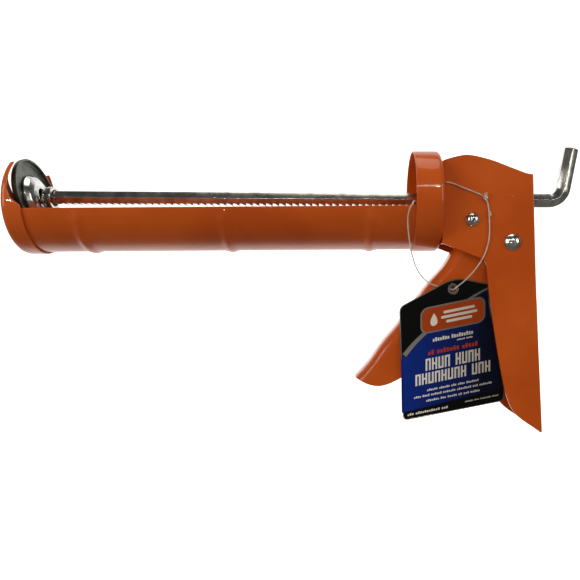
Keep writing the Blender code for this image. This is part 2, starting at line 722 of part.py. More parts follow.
def string_route():
    # Out of the groove beside the collar, down the flank, through the tag's eyelet,
    # up round the trough's side, over its edge and back inside the collar.
    return [(0.8, -14.9, 8.3), (2.4, -15.7, 8.2), (5.2, -15.85, 7.7), (10.5, -15.8, 5.6), (17.0, -15.75, 3.0),
            (22.2, -15.7, 0.6), (24.6, -15.7, -3.6), (25.4, -15.7, -12.0), (25.2, -15.7, -22.0),
            (22.6, -15.7, -31.0), (17.8, -15.3, -38.6), (12.6, -14.9, -44.2), (8.8, -14.7, -47.4),
            (7.3, -14.3, -48.8), (6.6, -13.3, -49.3), (6.3, -12.4, -49.3), (4.6, -11.75, -48.9),
            (1.0, -11.8, -48.0), (-3.0, -11.8, -47.1), (-6.8, -12.2, -45.3), (-10.6, -13.6, -42.0),
            (-14.0, -15.8, -36.9), (-16.8, -18.9, -28.8), (-18.6, -22.4, -19.4), (-19.2, -25.2, -11.6),
            (-18.2, -27.1, -7.0), (-17.0, -27.5, -5.0), (-16.2, -26.7, -3.6), (-15.4, -25.2, -3.3),
            (-13.4, -22.4, -3.8), (-9.4, -17.4, -4.4), (-4.8, -11.6, -4.2), (-1.2, -7.6, -3.6)]


def make_string(nylon):
    route = evenly(through(string_route(), 12), 80)
    return wire("tag_string", route, string_d, nylon, 2)


def make_knot(name, x, z, radius, nylon):
    bm = bmesh.new()
    bmesh.ops.create_icosphere(bm, subdivisions=2, radius=radius)
    bmesh.ops.scale(bm, vec=(1.25, 0.9, 1.0), verts=bm.verts)
    y = -15.7 - string_d / 2 - gap - 0.9 * radius
    bmesh.ops.translate(bm, vec=(x, y, z), verts=bm.verts)
    return store(bm, name, nylon)


# ---------------------------------------------------------------- assembly
clear_scene()
paint = finish("orange_enamel", (0.52, 0.10, 0.018), 0.0, 0.25)
zinc = finish("zinc_plate", (0.60, 0.61, 0.62), 1.0, 0.3)
steel = finish("spring_steel", (0.33, 0.33, 0.34), 1.0, 0.35)
card = finish("printed_card", (0.01, 0.02, 0.10), 0.0, 0.35)
nylon = finish("clear_nylon", (0.72, 0.72, 0.70), 0.0, 0.3)

make_trough(paint)
make_cap(paint)
make_collar(paint)
make_handle(paint)
make_rivet("trigger_rivet", pivot, pivot_shank_r, pivot_head_r, zinc)
make_rivet("front_rivet", front_rivet, front_shank_r, front_head_r, zinc)
make_spacer(zinc)
make_leaf(steel)
make_return_spring(steel)
make_tag(card)
make_eyelet(zinc)
make_string(nylon)
make_knot("string_knot", 23.2, -0.4, knot_r, nylon)
make_knot("string_knot_lower", 25.4, -9.5, knot_r * 0.8, nylon)

trigger_mark = joint("trigger_axis", (pivot[0], 0.0, pivot[1]))
pawl_mark = joint("pawl_axis", (pawl_pin[0], 0.0, pawl_pin[1]))
hang(trigger_mark, make_trigger(paint), make_pawl_pin(zinc), make_pawl_spring(steel))
hang(trigger_mark, pawl_mark)
hang(pawl_mark, make_pawl(steel))

piston_mark = joint("piston_slide", rod_point(disc_x))
disc_mark = joint("disc_rock", rod_point(disc_x))
rod_mark = joint("rod_turn", rod_point(disc_x))
hang(piston_mark, disc_mark, rod_mark)
hang(piston_mark, make_ring("piston_washer", hub_x, hub_x + washer_thick, tenon_r + running, 6.0, zinc))
hang(disc_mark, make_disc(zinc), make_cup(zinc))
hang(rod_mark, make_rod(zinc),
     make_ring("rod_collar", rod_front_x + gap, rod_front_x + gap + rod_collar_length,
               rod_corner_r + gap, 6.3, zinc),
     make_ring("rod_end_nut", cap_face_x + 0.1, cap_face_x + 1.3, tenon_r + gap, 6.0, zinc, 24))
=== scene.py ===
import math

import bmesh
import bpy
from mathutils import Matrix, Vector


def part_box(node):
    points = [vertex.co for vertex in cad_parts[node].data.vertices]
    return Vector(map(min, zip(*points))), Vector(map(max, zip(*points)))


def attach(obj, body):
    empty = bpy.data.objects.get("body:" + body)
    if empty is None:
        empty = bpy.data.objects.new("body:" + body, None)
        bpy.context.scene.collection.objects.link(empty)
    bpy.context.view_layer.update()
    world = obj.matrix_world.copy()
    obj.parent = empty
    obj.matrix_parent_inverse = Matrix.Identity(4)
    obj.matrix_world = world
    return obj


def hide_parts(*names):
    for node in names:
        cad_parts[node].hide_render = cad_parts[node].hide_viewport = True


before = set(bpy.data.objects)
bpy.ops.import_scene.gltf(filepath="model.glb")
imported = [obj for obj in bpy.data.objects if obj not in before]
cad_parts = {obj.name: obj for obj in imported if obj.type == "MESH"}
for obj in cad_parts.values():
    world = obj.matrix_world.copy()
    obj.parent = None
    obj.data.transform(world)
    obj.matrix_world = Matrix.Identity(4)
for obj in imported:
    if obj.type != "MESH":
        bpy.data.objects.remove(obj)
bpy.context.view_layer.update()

# Shapes are drawn in millimetres from the barrel's axis and the collar's back face, then stored in metres.
mm = 0.001
collarLow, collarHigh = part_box("rear_collar")
datum = Vector((collarHigh.x, 0.0, (collarLow.z + collarHigh.z) / 2))
capFace = -230.5            # front plate's outer face
capBack = capFace + 11.0
lines = {"cradleDroop": -0.4, "rodRise": 0.35, "rodWeb": (50.3, 0.0, 0.4)}
sharpAngle = 38.0            # edges past this many degrees stay sharp in the shading
bpy.context.scene.view_settings.view_transform = "Standard"


# ---- camera: level, side on, nearly in line with the middle of the gun
shot = {"distance": 335.0, "column": -51.3, "height": -49.5, "lens": 37.055, "shift": -0.0966}
lensData = bpy.data.cameras.new("sideCamera")
lensData.lens = shot["lens"]
lensData.sensor_width = 36.0
lensData.shift_x = shot["shift"]
lensData.clip_start = 0.01
camera = bpy.data.objects.new("sideCamera", lensData)
camera.location = datum + Vector((shot["column"], -shot["distance"], shot["height"])) * mm
camera.rotation_euler = (math.radians(90.0), 0.0, 0.0)
bpy.context.scene.collection.objects.link(camera)
bpy.context.scene.camera = camera


# ---- small helpers
def linear(hexColour):
    # sRGB hex to the linear values that the shaders take
    parts = [int(hexColour[i:i + 2], 16) / 255 for i in (1, 3, 5)]
    return tuple(p / 12.92 if p <= 0.04045 else ((p + 0.055) / 1.055) ** 2.4 for p in parts) + (1.0,)


def addNode(tree, kind, settings=None, links=None):
    node = tree.nodes.new(kind)
    for key, value in (settings or {}).items():
        if isinstance(key, int) or key in node.inputs:
            node.inputs[key].default_value = value
        else:
            setattr(node, key, value)
    for key, source in (links or {}).items():
        tree.links.new(source, node.inputs[key])
    return node


def startMaterial(name, settings):
    material = bpy.data.materials.new(name)
    material.use_nodes = True
    tree = material.node_tree
    shader = tree.nodes["Principled BSDF"]
    for key, value in settings.items():
        shader.inputs[key].default_value = value
    place = addNode(tree, "ShaderNodeTexCoord")
    return material, tree, shader, place.outputs["Object"]


def leanBy(degrees):
    return Matrix.Rotation(math.radians(degrees), 3, "Y")


def onRodLine(bm):
    # the rod rises a little to its front, and its pieces are drawn level and then moved onto its line
    web = lines["rodWeb"]
    bmesh.ops.rotate(bm, cent=(web[0], 0, 0), matrix=leanBy(lines["rodRise"]), verts=bm.verts)
    bmesh.ops.translate(bm, vec=(0, 0, web[2]), verts=bm.verts)


def putInPlace(bm):
    bmesh.ops.scale(bm, vec=(mm, mm, mm), verts=bm.verts)
    bmesh.ops.translate(bm, vec=datum, verts=bm.verts)


def storePiece(bm, name, body, material, replaced=(), sharp=sharpAngle, merge=True, line=""):
    # finishes a piece: it is leant, put in place, shaded and set on its CAD body
    if merge:
        bmesh.ops.remove_doubles(bm, verts=bm.verts, dist=1e-4)
    if line == "cradle":
        bmesh.ops.rotate(bm, cent=(0, 0, 0), matrix=leanBy(lines["cradleDroop"]), verts=bm.verts)
    if line == "rod":
        onRodLine(bm)
    putInPlace(bm)
    mesh = bpy.data.meshes.new(name)
    bm.to_mesh(mesh)
    bm.free()
    mesh.shade_smooth()
    mesh.set_sharp_from_angle(angle=math.radians(sharp))
    for one in (material if isinstance(material, list) else [material]):
        mesh.materials.append(one)
    piece = bpy.data.objects.new(name, mesh)
    bpy.context.scene.collection.objects.link(piece)
    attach(piece, body)
    if replaced:
        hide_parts(*replaced)
    return piece


def softCorners(points, steps=5):
    # closed outline of (x, y, fillet) with each corner rounded
    outline = []
    for i, (x, y, fillet) in enumerate(points):
        here = Vector((x, y))
        back = Vector(points[i - 1][:2]) - here
        ahead = Vector(points[(i + 1) % len(points)][:2]) - here
        if fillet <= 0.0:
            outline.append((x, y))
            continue
        half = back.angle(ahead) / 2
        run = min(fillet / math.tan(half), 0.49 * back.length, 0.49 * ahead.length)
        start = here + back.normalized() * run
        end = here + ahead.normalized() * run
        bulge = run * math.tan(half)
        centre = here + (back.normalized() + ahead.normalized()).normalized() * bulge / math.sin(half)
        first = start - centre
        turn = first.angle_signed(end - centre)
        for k in range(steps + 1):
            spot = centre + Matrix.Rotation(-turn * k / steps, 2) @ first
            outline.append((spot.x, spot.y))
    return outline


def through(points, steps):
    # smooth open curve through chosen points
    rail = [Vector(p) for p in points]
    rail = [rail[0] * 2 - rail[1]] + rail + [rail[-1] * 2 - rail[-2]]
    curve = []
    for a, b, c, d in zip(rail, rail[1:], rail[2:], rail[3:]):
        for k in range(steps):
            t = k / steps
            curve.append(0.5 * ((2 * b) + (c - a) * t + (2 * a - 5 * b + 4 * c - d) * t * t
                                + (3 * b - a - 3 * c + d) * t * t * t))
    curve.append(rail[-2])
    return curve


def turned(profile, steps, centre=(0, 0, 0), axis=(1, 0, 0), lean=0.0):
    # closed outline of (distance along the axis, radius) turned about the axis
    bm = bmesh.new()
    ring = [bm.verts.new((a, 0.0, r)) for a, r in profile]
    edges = [bm.edges.new(pair) for pair in zip(ring, ring[1:])]
    if profile[0][1] > 1e-6 or profile[-1][1] > 1e-6:
        edges.append(bm.edges.new((ring[-1], ring[0])))
    bmesh.ops.spin(bm, geom=ring + edges, cent=(0, 0, 0), axis=(1, 0, 0), angle=math.tau, steps=steps,
                   use_merge=True)
    bmesh.ops.remove_doubles(bm, verts=bm.verts, dist=1e-4)
    bmesh.ops.recalc_face_normals(bm, faces=bm.faces)
    aim = Vector((1, 0, 0)).rotation_difference(Vector(axis)).to_matrix()
    bmesh.ops.rotate(bm, cent=(0, 0, 0), matrix=Matrix.Rotation(lean, 3, "Y") @ aim, verts=bm.verts)
    bmesh.ops.translate(bm, vec=centre, verts=bm.verts)
    return bm


def softEdges(bm, limit, offset, segments):
    # rounds every edge that turns by more than limit degrees
    picked = [e for e in bm.edges if len(e.link_faces) == 2 and e.calc_face_angle() > math.radians(limit)]
    bmesh.ops.bevel(bm, geom=picked, offset=offset, segments=segments, profile=0.5, affect="EDGES",
                    material=-1, clamp_overlap=True)


def cutWith(piece, bm):
    # takes a shape out of a stored piece and keeps the result as its mesh
    putInPlace(bm)
    mesh = bpy.data.meshes.new("cutter")
    bm.to_mesh(mesh)
    bm.free()
    cutter = bpy.data.objects.new("cutter", mesh)
    bpy.context.scene.collection.objects.link(cutter)
    step = piece.modifiers.new("cut", "BOOLEAN")
    step.operation = "DIFFERENCE"
    step.solver = "EXACT"
    step.object = cutter
    bpy.context.view_layer.update()
    shaped = bpy.data.meshes.new_from_object(piece.evaluated_get(bpy.context.evaluated_depsgraph_get()))
    piece.modifiers.clear()
    old = piece.data
    piece.data = shaped
    bpy.data.meshes.remove(old)
    bpy.data.objects.remove(cutter)


def softenPiece(piece, limit, offset):
    # rounds a stored piece's hard edges, its cut openings with them
    bm = bmesh.new()
    bm.from_mesh(piece.data)
    softEdges(bm, limit, offset * mm, 3)
    bm.to_mesh(piece.data)
    bm.free()
    piece.data.shade_smooth()
    piece.data.set_sharp_from_angle(angle=math.radians(sharpAngle))


def bored(place, radius, halfLength, axis=(0, 1, 0), steps=48):
    # plain round bar that cuts a hole
    ends = [(-halfLength, 0.0), (-halfLength, radius), (halfLength, radius), (halfLength, 0.0)]
    return turned(ends, steps, place, axis)


# ---- materials, with their patterns counted per metre
enamelGrain = {"cloud": 26.0, "peel": 650.0, "dust": 210.0, "speck": 0.09}
zincGrain = {"cloud": 180.0, "linesAlong": 60.0, "linesAcross": 3000.0}


def makeEnamel(name, colour, warm, deep):
    # Sprayed gloss enamel on pressed steel: a deep clear gloss, faint orange peel, slightly uneven colour.
    material, tree, shader, place = startMaterial(name, {
        "Roughness": 0.4, "IOR": 1.5, "Specular IOR Level": 0.1, "Coat Weight": 0.5, "Coat Roughness": 0.045,
        "Coat IOR": 1.5})
    grain = enamelGrain
    cloud = addNode(tree, "ShaderNodeTexNoise", {"Scale": grain["cloud"], "Detail": 4.0}, {"Vector": place})
    tint = addNode(tree, "ShaderNodeValToRGB", links={"Fac": cloud.outputs["Fac"]})
    tint.color_ramp.elements[0].position = 0.35
    tint.color_ramp.elements[0].color = linear(deep)
    tint.color_ramp.elements[1].position = 0.68
    tint.color_ramp.elements[1].color = linear(warm)
    middle = tint.color_ramp.elements.new(0.5)
    middle.color = linear(colour)
    tree.links.new(tint.outputs["Color"], shader.inputs["Base Color"])
    # orange peel waves about 1.5 mm apart, and dust specks under the paint about 0.9 mm across
    peel = addNode(tree, "ShaderNodeTexNoise", {"Scale": grain["peel"], "Detail": 1.5}, {"Vector": place})
    dust = addNode(tree, "ShaderNodeTexVoronoi", {"Scale": grain["dust"]}, {"Vector": place})
    speck = addNode(tree, "ShaderNodeMapRange",
                    {"From Min": 0.0, "From Max": grain["speck"], "To Min": 1.0, "To Max": 0.0},
                    {"Value": dust.outputs["Distance"]})
    bumps = addNode(tree, "ShaderNodeMath", {"operation": "MULTIPLY_ADD", 1: 0.5},
                    {0: speck.outputs["Result"], 2: peel.outputs["Fac"]})
    relief = addNode(tree, "ShaderNodeBump", {"Strength": 0.05, "Distance": 0.0004},
                     {"Height": bumps.outputs["Value"]})
    tree.links.new(relief.outputs["Normal"], shader.inputs["Normal"])
    tree.links.new(relief.outputs["Normal"], shader.inputs["Coat Normal"])
    return material


def makeZinc(name, colour, dull, roughness, haze):
    # Bright zinc plate on drawn or pressed steel: a cool metal, clouded where the plating is thin.
    material, tree, shader, place = startMaterial(name, {"Metallic": 1.0})
    grain = zincGrain
    cloud = addNode(tree, "ShaderNodeTexNoise", {"Scale": grain["cloud"], "Detail": 5.0}, {"Vector": place})
    tint = addNode(tree, "ShaderNodeValToRGB", links={"Fac": cloud.outputs["Fac"]})
    tint.color_ramp.elements[0].position = 0.38
    tint.color_ramp.elements[0].color = linear(dull)
    tint.color_ramp.elements[1].position = 0.62
    tint.color_ramp.elements[1].color = linear(colour)
    tree.links.new(tint.outputs["Color"], shader.inputs["Base Color"])
    gloss = addNode(tree, "ShaderNodeMapRange", {"To Min": roughness, "To Max": roughness + haze},
                    {"Value": cloud.outputs["Fac"]})
    tree.links.new(gloss.outputs["Result"], shader.inputs["Roughness"])
    # drawing lines along the metal, about 0.3 mm apart
    stretch = (grain["linesAlong"], grain["linesAcross"], grain["linesAcross"])
    run = addNode(tree, "ShaderNodeMapping", {"Scale": stretch}, {"Vector": place})
    drawn = addNode(tree, "ShaderNodeTexNoise", {"Scale": 1.0, "Detail": 2.0},
                    {"Vector": run.outputs["Vector"]})
    relief = addNode(tree, "ShaderNodeBump", {"Strength": 0.06, "Distance": 0.0002},
                     {"Height": drawn.outputs["Fac"]})
    tree.links.new(relief.outputs["Normal"], shader.inputs["Normal"])
    return material


enamel = makeEnamel("glossEnamel", "#BE5316", "#C65A1B", "#B64D12")
zincBright = makeZinc("brightZinc", "#D5D8D6", "#B4B8B6", 0.13, 0.12)
zincDull = makeZinc("dullZinc", "#5F645F", "#4B504C", 0.34, 0.16)
springSteel = makeZinc("oiledSpringSteel", "#8A8C8E", "#5E6063", 0.26, 0.18)


# ---- cradle trough: half a barrel of sheet with three pressed ribs
trough = {"radius": 26.6, "sheet": 0.8, "lipDrop": 5.5, "ribs": 3, "ribHeight": 1.0, "ribWidth": 6.5,
          "fadeDegrees": 14.0, "frontGap": 3.0, "rearGap": 2.5, "edge": 0.3, "stations": 24, "steps": 120}


def makeTrough():
    t = trough
    front, back = capFace + t["frontGap"], -t["rearGap"]
    count = t["stations"]
    stops = [front + (back - front) * k / count for k in range(count + 1)]
    middles = [capFace * (1 - (rib + 0.5) / t["ribs"]) for rib in range(t["ribs"])]
    for middle in middles:
        stops += [middle + t["ribWidth"] * (k / 8 - 1) for k in range(17)]
    stops = sorted(set(round(x, 3) for x in stops))
    bm = bmesh.new()
    lip = math.asin(t["lipDrop"] / t["radius"])
    line = []
    for x in stops:
        near = min(abs(x - middle) for middle in middles)
        rise = t["ribHeight"] * math.exp(-(near / (t["ribWidth"] * 0.36)) ** 2)
        r = t["radius"] + rise
        line.append(bm.verts.new((x, -r * math.cos(lip), -r * math.sin(lip))))
    edges = [bm.edges.new(pair) for pair in zip(line, line[1:])]
    bmesh.ops.spin(bm, geom=line + edges, cent=(0, 0, 0), axis=(1, 0, 0), angle=math.pi - 2 * lip,
                   steps=t["steps"])
    # the ribs die away towards the lips
    for v in bm.verts:
        flat = Vector((0, v.co.y, v.co.z))
        fromLip = math.degrees(math.atan2(-flat.z, abs(flat.y)) - lip)
        fade = min(1.0, max(0.0, fromLip / t["fadeDegrees"]))
        flat.length = t["radius"] + (flat.length - t["radius"]) * fade * fade * (3 - 2 * fade)
        v.co = (v.co.x, flat.y, flat.z)
    skin = bmesh.ops.extrude_face_region(bm, geom=bm.faces[:], use_keep_orig=True)
    for v in (item for item in skin["geom"] if isinstance(item, bmesh.types.BMVert)):
        flat = Vector((0, v.co.y, v.co.z))
        flat.length -= t["sheet"]
        v.co = (v.co.x, flat.y, flat.z)
    bmesh.ops.recalc_face_normals(bm, faces=bm.faces)
    softEdges(bm, 60.0, t["edge"], 3)
    storePiece(bm, "cradleTrough", "frame", enamel, ["cradle_trough"], line="cradle")


# ---- front cap: deep-drawn cup with the nozzle notch between two horns
cap = {"outer": 27.7, "sheet": 0.8, "corner": 3.0, "plateStart": 5.0, "notchRadius": 10.5, "notchDrop": 2.0,
       "tipDegrees": 136.6, "edge": 0.28, "steps": 180}
notchSide = [(10.5, -2.0), (12.6, 0.0), (15.5, 4.0), (19.5, 10.0), (18.9, 14.0), (16.8, 17.7), (18.0, 19.6)]
# height, and how far the band's rear edge is drawn forward there
bandSweep = [(-27.7, 0.0), (-6.0, 0.0), (-4.2, -0.4), (-3.0, -1.8), (-1.6, -3.6), (0.0, -5.2), (6.0, -7.7),
             (12.0, -8.7), (20.5, -9.6)]


def readOff(table, value):
    # straight-line reading between a table's rows
    for (a, low), (b, high) in zip(table, table[1:]):
        if a <= value <= b:
            return low + (high - low) * (value - a) / (b - a)
    return table[0][1] if value < table[0][0] else table[-1][1]


def makeCap():
    c = cap
    notch = []
    for k in range(13):
        a = math.radians(-90 + 90 * k / 12)
        notch.append((c["notchRadius"] * math.cos(a), -c["notchDrop"] + c["notchRadius"] * math.sin(a)))
    smooth = through([(y, 0, z) for y, z in notchSide], 6)[1:]
    notch += [(p.x, p.z) for p in smooth]
    polar = [(math.degrees(math.atan2(y, -z)), math.hypot(y, z)) for y, z in notch]
    polar.sort()
    bm = bmesh.new()
    start = math.radians(-90 - c["tipDegrees"])
    flatEnd = c["outer"] - c["corner"]
    first = c["plateStart"]
    profile = [(capFace, first + (flatEnd - first) * k / 6) for k in range(7)]
    profile += [(capFace + c["corner"] * (1 - math.cos(math.radians(a))),
                 flatEnd + c["corner"] * math.sin(math.radians(a))) for a in (15, 30, 45, 60, 75, 90)]
    bandStart = capFace + c["corner"]
    profile += [(bandStart + (capBack - bandStart) * k / 8, c["outer"]) for k in range(1, 9)]
    line = [bm.verts.new((x, r * math.cos(start), r * math.sin(start))) for x, r in profile]
    edges = [bm.edges.new(pair) for pair in zip(line, line[1:])]
    bmesh.ops.spin(bm, geom=line + edges, cent=(0, 0, 0), axis=(1, 0, 0),
                   angle=math.radians(2 * c["tipDegrees"]), steps=c["steps"])
    # the plate is drawn out to the notch, and the band's rear edge sweeps forward above the lips
    for v in bm.verts:
        flat = Vector((0, v.co.y, v.co.z))
        fromBottom = math.degrees(math.atan2(abs(flat.y), -flat.z))
        if v.co.x < capFace + 1e-4:
            share = (flat.length - first) / (flatEnd - first)
            inner = min(readOff(polar, fromBottom), flatEnd - 0.4)
            flat.length = inner + (flatEnd - inner) * share
            v.co = (v.co.x, flat.y, flat.z)
        elif v.co.x > bandStart + 1e-4:
            share = (v.co.x - bandStart) / (capBack - bandStart)
            rear = max(capBack + readOff(bandSweep, flat.z), bandStart + 0.5)
            v.co.x = bandStart + (rear - bandStart) * share
    skin = bmesh.ops.extrude_face_region(bm, geom=bm.faces[:], use_keep_orig=True)
    for v in (item for item in skin["geom"] if isinstance(item, bmesh.types.BMVert)):
        flat = Vector((0, v.co.y, v.co.z))
        if flat.length <= flatEnd + 1e-4:
            v.co.x += c["sheet"]
            continue
        middle = Vector((bandStart, 0, 0)) + flat.normalized() * flatEnd
        if v.co.x > bandStart - 1e-4:
            flat.length -= c["sheet"]
            v.co = (v.co.x, flat.y, flat.z)
        else:
            v.co = middle + (v.co - middle) * (1 - c["sheet"] / c["corner"])
    bmesh.ops.recalc_face_normals(bm, faces=bm.faces)
    softEdges(bm, 50.0, c["edge"], 3)
    storePiece(bm, "frontCap", "frame", enamel, ["front_cap"], line="cradle")


# ---- rear collar: drawn ring with a closed back that the rod passes through
collar = {"outer": 27.7, "sheet": 0.8, "depth": 14.8, "corner": 2.5, "bore": 5.34, "boreEdge": 0.25,
          "lipEdge": 0.35}


def makeCollar():
    c = collar
    inner = c["outer"] - c["sheet"]
    outline = softCorners([(0.0, c["bore"], c["boreEdge"]), (0.0, c["outer"], c["corner"]),
                           (-c["depth"], c["outer"], c["lipEdge"]), (-c["depth"], inner, c["lipEdge"]),
                           (-c["sheet"], inner, c["corner"] - c["sheet"]),
                           (-c["sheet"], c["bore"], c["boreEdge"])])
    storePiece(turned(outline, 180), "rearCollar", "frame", enamel, ["rear_collar"])


print("cradle")
makeTrough()
makeCap()
makeCollar()


# ---- handle: one stamped channel, folded in beside the collar and open along the front of the grip
grip = {"half": 15.0, "sheet": 1.2, "foldRadius": 3.0, "bendRadius": 2.0, "window": 8.5, "front": 0.3,
        "rodHole": 4.63, "holeAt": 50.0, "holeReach": 12.0, "rimRadius": 0.34}
gripTop = [(0.3, 19.6), (2.0, 20.5), (8.0, 22.2), (14.8, 23.0), (25.7, 20.6), (36.0, 16.8), (45.2, 13.3),
           (49.3, 12.6)]
gripRear = [(49.3, 12.6), (50.7, -43.8), (52.2, -83.6), (54.0, -125.9)]
gripFront = [(54.0, -125.9), (44.9, -120.4), (38.4, -114.6), (34.6, -106.0), (32.0, -94.0), (28.6, -74.0),
             (25.6, -52.0), (24.0, -36.5)]
gripFoot = [(22.6, -33.0), (0.3, -24.4)]
marks = {"count": 4, "first": 29.6, "pitch": 2.8, "height": 0.8, "radius": 0.6, "rise": 0.16}


def smoothLine(points, steps):
    # the smooth curve through points in the gun's middle plane
    return [(p.x, p.z) for p in through([(x, 0, z) for x, z in points], steps)]


def prism(outline, low, high):
    # an outline in the gun's middle plane, carried across from low to high
    bm = bmesh.new()
    face = bm.faces.new([bm.verts.new((x, low, z)) for x, z in outline])
    grown = bmesh.ops.extrude_face_region(bm, geom=[face], use_keep_orig=True)
    moved = [item for item in grown["geom"] if isinstance(item, bmesh.types.BMVert)]
    bmesh.ops.translate(bm, vec=(0.0, high - low, 0.0), verts=moved)
    bmesh.ops.recalc_face_normals(bm, faces=bm.faces)
    return bm


def flatten(piece):
    # keeps wide flats evenly lit beside their small bends
    step = piece.modifiers.new("evenFlats", "WEIGHTED_NORMAL")
    step.keep_sharp = True
    step.weight = 90


def nearLine(edge, line):
    # true for an edge that runs along the line without crossing the gun
    def off(p):
        spot = Vector((p.co.x, p.co.z))
        best = 1e9
        for a, b in zip(line, line[1:]):
            a, b = Vector(a), Vector(b)
            t = max(0.0, min(1.0, (spot - a).dot(b - a) / (b - a).length_squared))
            best = min(best, (spot - a - (b - a) * t).length)
        return best
    flat = abs(edge.verts[0].co.y - edge.verts[1].co.y) < 1e-3
    return flat and all(off(v) < 0.02 for v in edge.verts)


def addMarks(piece):
    # four small stamped dots in a row on the near flank
    m = marks
    bm = bmesh.new()
    bm.from_mesh(piece.data)
    count = len(bm.faces)
    size = Matrix.Diagonal((m["radius"] * mm, m["rise"] * mm, m["radius"] * mm, 1.0))
    for k in range(m["count"]):
        spot = datum + Vector((m["first"] + m["pitch"] * k, -grip["half"], m["height"])) * mm
        bmesh.ops.create_uvsphere(bm, u_segments=24, v_segments=16, radius=1.0,
                                  matrix=Matrix.Translation(spot) @ size)
    bm.faces.ensure_lookup_table()
    for face in bm.faces[count:]:
        face.smooth = True
    bm.to_mesh(piece.data)
    bm.free()


def makeHandle():
    g = grip
    outline = smoothLine(gripTop, 5) + gripRear[1:] + smoothLine(gripFront, 6)[1:] + gripFoot
    bm = prism(outline, -g["half"], g["half"])
    rears = [e for e in bm.edges if nearLine(e, gripRear)]
    bmesh.ops.bevel(bm, geom=rears, offset=g["bendRadius"], segments=6, profile=0.5, affect="EDGES",
                    material=-1, clamp_overlap=True)
    fold = [(g["front"], gripTop[0][1]), (g["front"], gripFoot[-1][1])]
    fronts = [e for e in bm.edges if nearLine(e, fold)]
    bmesh.ops.bevel(bm, geom=fronts, offset=g["foldRadius"], segments=8, profile=0.5, affect="EDGES",
                    material=-1, clamp_overlap=True)
    for y in (-g["window"], g["window"]):
        whole = bm.verts[:] + bm.edges[:] + bm.faces[:]
        bmesh.ops.bisect_plane(bm, geom=whole, dist=1e-4, plane_co=(0, y, 0), plane_no=(0, 1, 0))
    bm.normal_update()
    # only the flanks, the rear web and the two folded flanges beside the window are kept
    opened = []
    for face in bm.faces:
        middle = face.calc_center_median()
        ahead = face.normal.x
        flank = abs(face.normal.y) > 0.02
        webSide = ahead > 0.5 and middle.x > 45.0
        flange = ahead < -0.9 and middle.x < 1.0 and abs(middle.y) > g["window"]
        if not (flank or webSide or flange):
            opened.append(face)
    bmesh.ops.delete(bm, geom=opened, context="FACES")
    bmesh.ops.recalc_face_normals(bm, faces=bm.faces)
    if max((f.calc_area(), f.normal.y * f.calc_center_median().y) for f in bm.faces)[1] < 0:
        bmesh.ops.reverse_faces(bm, faces=bm.faces)
    bmesh.ops.solidify(bm, geom=bm.faces[:], thickness=g["sheet"])
    bmesh.ops.recalc_face_normals(bm, faces=bm.faces)
    piece = storePiece(bm, "handleFrame", "frame", enamel, ["handle_frame"])
    rodHole = bored((g["holeAt"], 0, 0), g["rodHole"], g["holeReach"], (1, 0, 0), 64)
    onRodLine(rodHole)
    cutWith(piece, rodHole)
    softenPiece(piece, 60.0, g["rimRadius"])
    addMarks(piece)
    flatten(piece)


# ---- trigger: a channel that narrows from its foot to the pivot
lever = {"half": 11.0, "sheet": 1.2, "bendRadius": 6.0, "footBulge": 4.3, "rim": 0.36, "slotGap": 0.4,
         "rowSteps": 7, "flankSteps": 10, "bendSteps": 9}
leverFinger = [(37.5, -7.2), (27.0, -12.2), (15.5, -19.0), (8.2, -27.5), (2.6, -36.3), (-5.4, -45.2),
               (-14.8, -57.8), (-23.2, -68.9), (-31.3, -78.5), (-36.9, -86.6), (-41.3, -92.2), (-46.2, -97.4)]
leverRear = [(45.2, -9.2), (47.2, -15.0), (46.0, -24.0), (41.0, -33.5), (31.0, -43.5), (19.5, -54.5),
             (7.5, -69.5), (-3.0, -82.5), (-11.0, -90.5), (-16.5, -94.5), (-19.5, -96.2), (-21.8, -97.4)]
leverSlot = [(4.0, 0.0), (60.0, 0.0), (60.0, -14.0), (30.0, -14.0), (18.5, -22.5), (6.0, -24.0)]


def leverGrid(half, bend, inset):
    # rows of points across the channel, from its top to its foot
    g = lever
    fingers = through([(x, 0, z) for x, z in leverFinger], g["rowSteps"])
    rears = through([(x, 0, z) for x, z in leverRear], g["rowSteps"])
    last = len(fingers) - 1
    rows = []
    for i, (web, back) in enumerate(zip(fingers, rears)):
        bulge = g["footBulge"] * max(0.0, 1.0 - (last - i) / (1.5 * g["rowSteps"])) ** 1.3
        way = (back - web).normalized()
        down = Vector((way.z, 0.0, -way.x))
        start = web + way * inset
        depth = (back - start).length
        flank = g["flankSteps"]
        halfRow = [(bend + (depth - bend) * (1.0 - k / flank), half) for k in range(flank)]
        for k in range(g["bendSteps"] + 1):
            turn = math.radians(90.0 * k / g["bendSteps"])
            halfRow.append((bend * (1.0 - math.sin(turn)), half - bend + bend * math.cos(turn)))
        webHalf = halfRow[-1][1]
        halfRow += [(0.0, webHalf * (1 - k / 4)) for k in range(1, 4)]
        points = []
        for reach, y in halfRow:
            lift = bulge * math.sin(math.pi * min(1.0, (reach + inset) / (depth + inset)))
            points.append((start + way * reach + down * lift, y))
        middle = points[-1]
        row = [(p.x, -y, p.z) for p, y in points]
        row.append((middle[0].x, 0.0, middle[0].z))
        row += [(p.x, y, p.z) for p, y in reversed(points)]
        rows.append(row)
    return rows


